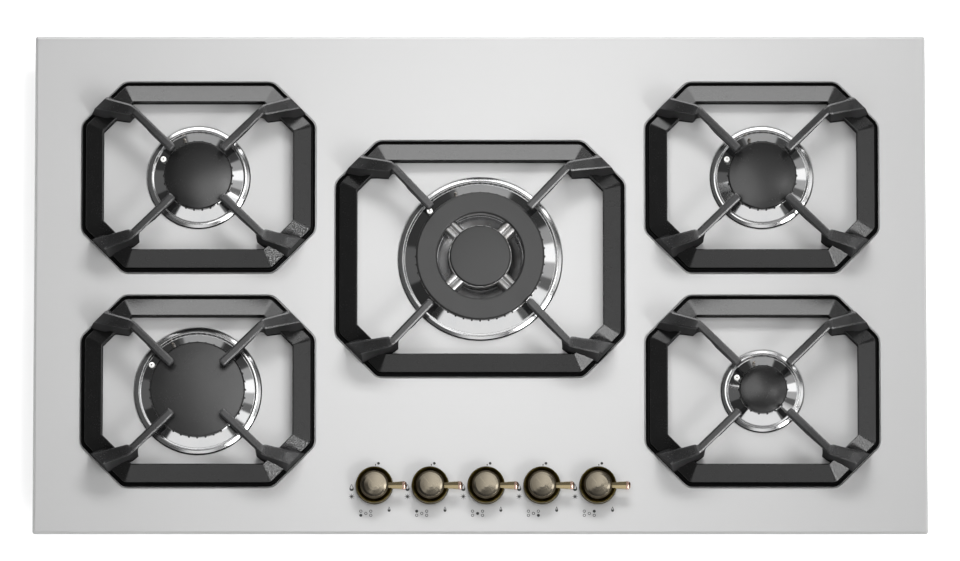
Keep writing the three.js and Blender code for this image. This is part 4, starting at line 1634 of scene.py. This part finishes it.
@dataclass
class KnobMarks:
    """Printed marks round one knob, one thin sheet for each mark."""

    name: str
    at: Flat
    filled: int
    lift: float = 0.03
    thick: float = 0.04

    def disc(self, form: Form, x: float, y: float, radius: float, hole: float = 0.0) -> None:
        """Add a disc or a ring.

        Args:
            form: the form that takes it.
            x: its middle, right of the knob's axis.
            y: its middle, behind the knob's axis.
            radius: outer radius.
            hole: inner radius.
        """
        low, high = self.lift, self.lift + self.thick
        profile = [(hole, low), (radius, low), (radius, high), (hole, high)]
        form.turned(profile, 28, (x, y, 0.0), closed=bool(hole))

    def plate(self, form: Form, outline: Sequence[Flat], holes: Sequence[Sequence[Flat]] = ()) -> None:
        """Add a thin flat shape.

        Args:
            form: the form that takes it.
            outline: its outer loop.
            holes: loops left open.
        """
        loops = [outline, *holes]
        low = [form.level(loop, self.lift) for loop in loops]
        high = [form.level(loop, self.lift + self.thick) for loop in loops]
        form.sheet(low)
        form.sheet(high)
        for a, b in zip(low, high):
            form.skin([a, b])

    @staticmethod
    def flame(x: float, y: float, width: float, height: float, steps: int = 33) -> list[Flat]:
        """Outline of a flame: round below, drawn to a point above.

        Args:
            x: middle of its round part.
            y: middle of its round part.
            width: its width.
            height: from the foot to the point.
            steps: number of points.

        Returns:
            The loop of points.
        """
        r = width / 2
        points = []
        for i in range(steps):
            px, py = polar(r, -90 + 360 * i / steps)
            if py > 0:
                px *= 1 - 0.75 * (py / r) ** 1.4
                py *= (height - r) / r
            points.append((x + px, y + py))
        return points

    def mark(self, kind: Mark) -> Form:
        """Mesh of one mark.

        Args:
            kind: which mark.

        Returns:
            The mark.
        """
        form = Form()
        flames = {
            Mark.HIGH: ((-22.7, -2.9, 4.3, 7.0), (-22.7, -1.8, 2.3, 4.1)),
            Mark.LOW: ((14.6, -24.4, 2.9, 5.4), (14.6, -23.1, 1.1, 2.0)),
        }
        if kind is Mark.OFF:
            self.disc(form, 4.0, 22.6, 1.35)
            self.plate(form, [(0.6, 20.2), (1.5, 20.2), (1.5, 22.0), (0.6, 22.0)])
        elif kind in flames:
            outer, inner = flames[kind]
            self.plate(form, self.flame(*outer), [self.flame(*inner)[::-1]])
        elif kind is Mark.SPARK:
            star = [polar(3.3 if i % 2 == 0 else 0.95, 90 + 22.5 * i) for i in range(16)]
            self.plate(form, [(x - 22.7, y - 10.6) for x, y in star])
        else:
            spots = [(-13.5, -29.3), (-13.5, -25.2), (-8.5, -27.4), (-3.6, -29.3), (-3.6, -25.2)]
            for i, (x, y) in enumerate(spots):
                self.disc(form, x, y, 1.5, 0.0 if i == self.filled else 0.95)
        return form

    def build(self, shop: Workshop) -> None:
        """Make the marks."""
        for kind in Mark:
            name, at = f"mark_{kind.value}_{self.name}", (*self.at, PLATE_TOP)
            shop.make(name, self.mark(kind), PrintedInk(), at)


@dataclass
class Underside:
    """Tray, seal, gas and electric fittings, which keep their CAD shapes."""

    pale_zinc: float = 0.6

    def build(self, shop: Workshop) -> None:
        """Dress the fittings.

        Args:
            shop: what gives them their finishes.
        """
        finishes = {
            "base_tray": GalvanisedSheet(), "worktop_seal": FoamStrip(), "gas_inlet_elbow": AgedBrass(),
            "spark_generator": BlackPlastic(), "terminal_box": BlackPlastic(),
        }
        for node in ("gas_manifold", "worktop_clamp_left", "worktop_clamp_right"):
            finishes[node] = GalvanisedSheet(self.pale_zinc)
        for station in STATIONS:
            finishes[f"gas_tap_{station.name}"] = CastAluminium()
            finishes[f"supply_pipe_{station.name}"] = CastAluminium(0.7, 0.25)
        for node, finish in finishes.items():
            shop.dress(node, finish)


# ------------------------------------------------------------------ studio


@dataclass(frozen=True)
class Softbox:
    """Rectangular studio light; it may show in reflections only or light diffusely only."""

    name: str
    place: Spot
    aim: Spot
    size: Flat
    power: float
    spread: float = 180.0
    lights: bool = True
    mirrored: bool = True

    def build(self) -> None:
        """Hang the light."""
        lamp = bpy.data.lights.new(self.name, "AREA")
        lamp.shape = "RECTANGLE"
        lamp.size, lamp.size_y = self.size
        lamp.energy = self.power
        lamp.spread = math.radians(self.spread)
        holder = placed(self.name, lamp)
        holder.location = self.place
        holder.visible_camera = False
        holder.visible_diffuse, holder.visible_glossy = self.lights, self.mirrored
        holder.rotation_euler = (Vector(self.aim) - Vector(self.place)).to_track_quat("-Z", "Y").to_euler()


@dataclass(frozen=True)
class PhotoCamera:
    """Long camera high over the plate, leaning a little from the front."""

    target: Spot = (-0.0002, 0.0037, 0.048)
    view_width: float = 0.957
    distance: float = 8.0
    lean: float = 7.0
    sensor: float = 36.0
    clip: Flat = (0.1, 60.0)

    def build(self) -> None:
        """Set the camera."""
        data = bpy.data.cameras.new("photo_view")
        data.sensor_width = self.sensor
        data.lens = self.sensor * self.distance / self.view_width
        data.clip_start, data.clip_end = self.clip
        camera = placed("photo_view", data)
        lean = math.radians(self.lean)
        back = Vector((0.0, -math.sin(lean), math.cos(lean)))
        camera.location = Vector(self.target) + back * self.distance
        camera.rotation_euler = (-back).to_track_quat("-Z", "Y").to_euler()
        bpy.context.scene.camera = camera


def eased_degrees(signal: Signal, low: float, high: float, curve: Callable[[float], float]) -> Signal:
    """Smooth step between the sines or cosines of two angles.

    Args:
        signal: sine or cosine of an angle.
        low: angle in degrees that gives 0.
        high: angle in degrees that gives 1.
        curve: math.sin or math.cos.

    Returns:
        The eased signal.
    """
    return signal.eased(curve(math.radians(low)), curve(math.radians(high)))


@dataclass(frozen=True)
class Panel:
    """Soft bright patch of the surround, far away in one direction."""

    bearing: float
    height: float
    core: float
    edge: float
    glow: float

    def light(self, graph: Graph, where: Signal) -> Signal:
        """Brightness of the patch.

        Args:
            graph: the surround's tree.
            where: direction that is looked in.

        Returns:
            Its glow inside the core, fading to 0 at the edge.
        """
        turn, rise = math.radians(self.bearing), math.radians(self.height)
        towards = (math.sin(turn) * math.cos(rise), math.cos(turn) * math.cos(rise), math.sin(rise))
        facing = graph.vector("DOT_PRODUCT", where, towards, output="Value")
        return eased_degrees(facing, self.edge, self.core, math.cos) * self.glow


@dataclass(frozen=True)
class Wedge:
    """Lighter or, with a negative glow, darker sector of a band half-way up the surround."""

    start: float
    end: float
    glow: float
    low: float = 47.0
    high: float = 68.0
    blur: float = 1.2
    soft: float = 2.0

    def light(self, graph: Graph, where: Signal) -> Signal:
        """Brightness of the sector.

        Args:
            graph: the surround's tree.
            where: direction that is looked in.

        Returns:
            Its glow between both bearings and both heights.
        """
        middle, half = math.radians((self.start + self.end) / 2), (self.end - self.start) / 2
        level = graph.vector("NORMALIZE", graph.vector("MULTIPLY", where, (1.0, 1.0, 0.0)))
        facing = graph.vector("DOT_PRODUCT", level, (math.sin(middle), math.cos(middle), 0.0), output="Value")
        inside = eased_degrees(facing, half + self.blur, half - self.blur, math.cos)
        height = graph.part(where, "Z")
        rise = eased_degrees(height, self.low - self.soft, self.low + self.soft, math.sin)
        fall = 1.0 - eased_degrees(height, self.high - self.soft, self.high + self.soft, math.sin)
        return inside * rise * fall * self.glow


@dataclass(frozen=True)
class Studio:
    """Pale floor, soft lights and a dim surround with soft panels."""

    surround: float = 0.10
    horizon: float = 0.85
    horizon_at: Flat = (0.04, 0.16)
    floor_radius: float = 9000.0
    floor_level: float = -0.4
    lights: tuple[Softbox, ...] = (
        Softbox("top_light", (-0.02, 0.05, 1.1), (0.0, 0.0, 0.05), (0.6, 0.5), 1.4),
        Softbox("rear_light", (-0.05, 1.35, 0.80), (0.0, 0.0, 0.05), (1.8, 0.55), 6.0, lights=False),
        Softbox("key_light", (0.15, 0.72, 1.0), (-0.06, -0.24, 0.05), (0.7, 0.28), 4.1, 95.0, mirrored=False),
    )
    panels: tuple[Panel | Wedge, ...] = (
        Panel(60.0, 80.0, 10.0, 30.0, 0.14),
        Panel(20.0, 83.0, 4.0, 15.0, 0.30),
        Panel(98.0, 78.0, 3.0, 12.0, 0.15),
        Panel(80.0, 75.5, 2.0, 4.2, 4.6),
        Panel(0.0, 27.0, 8.0, 15.0, 0.3),
        Panel(90.0, 35.0, 6.0, 18.0, 1.05),
        Panel(180.0, 42.0, 8.0, 18.0, 0.80),
        Panel(135.0, 38.0, 4.0, 9.0, 8.0),
        Wedge(112.0, 146.0, 12.0, 46.0, 55.0),
        Wedge(28.0, 50.0, 3.0, 36.0, 45.0),
        Wedge(137.0, 223.0, 0.80, 57.0),
        Wedge(224.0, 262.0, -0.07, 50.0, 66.0),
        Wedge(262.0, 291.0, 0.02),
        Wedge(292.0, 340.0, -0.06, 48.0, 66.0),
        Wedge(344.0, 380.0, 0.30, 45.0, 55.0),
        Wedge(22.0, 52.0, -0.06, 48.0, 66.0),
        Wedge(53.0, 66.0, 0.25),
        Wedge(66.0, 80.0, 1.1),
        Wedge(80.0, 93.0, 0.35),
        Wedge(104.0, 117.0, 0.9, 57.0),
    )

    def floor(self) -> None:
        """Wide floor under the hob."""
        form = Form()
        form.faces.append(tuple(form.level(arc((0, 0), self.floor_radius, 0, 352.5, 47), self.floor_level)))
        placed("floor", form.mesh("floor", PaleFloor()))

    def build(self) -> None:
        """Set up floor, lights and surround."""
        self.floor()
        for light in self.lights:
            light.build()
        world = bpy.data.worlds.new("surround")
        bpy.context.scene.world = world
        world.use_nodes = True
        graph = Graph(world.node_tree)
        where = graph.add("ShaderNodeTexCoord", output="Generated")
        above = graph.part(where, "Z").eased(*self.horizon_at)
        total = (1.0 - above) * (self.horizon - self.surround) + self.surround
        for panel in self.panels:
            total = total + panel.light(graph, where)
        glow = graph.add("ShaderNodeBackground", {}, {"Color": (1.0, 1.0, 1.0, 1.0), "Strength": total})
        graph.finish("ShaderNodeOutputWorld", glow)
        bpy.context.scene.view_settings.view_transform = "Standard"


# ------------------------------------------------------------------ the scene


def main() -> None:
    """Build the cooktop and its studio."""
    logging.basicConfig(level=logging.INFO, format="%(message)s", force=True)
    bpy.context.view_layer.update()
    shop = Workshop(ROOT_BODY)
    PhotoCamera().build()
    TopPlate().build(shop)
    for station in STATIONS:
        Burner(station).build(shop)
    for i, (station, place) in enumerate(zip(STATIONS, KNOB_PLACES)):
        ControlKnob(station.name, place).build(shop)
        KnobMarks(station.name, place, i).build(shop)
    Underside().build(shop)
    Studio().build()
    LOG.info("%d pieces made", len(shop.made))


if __name__ == "__main__":
    main()
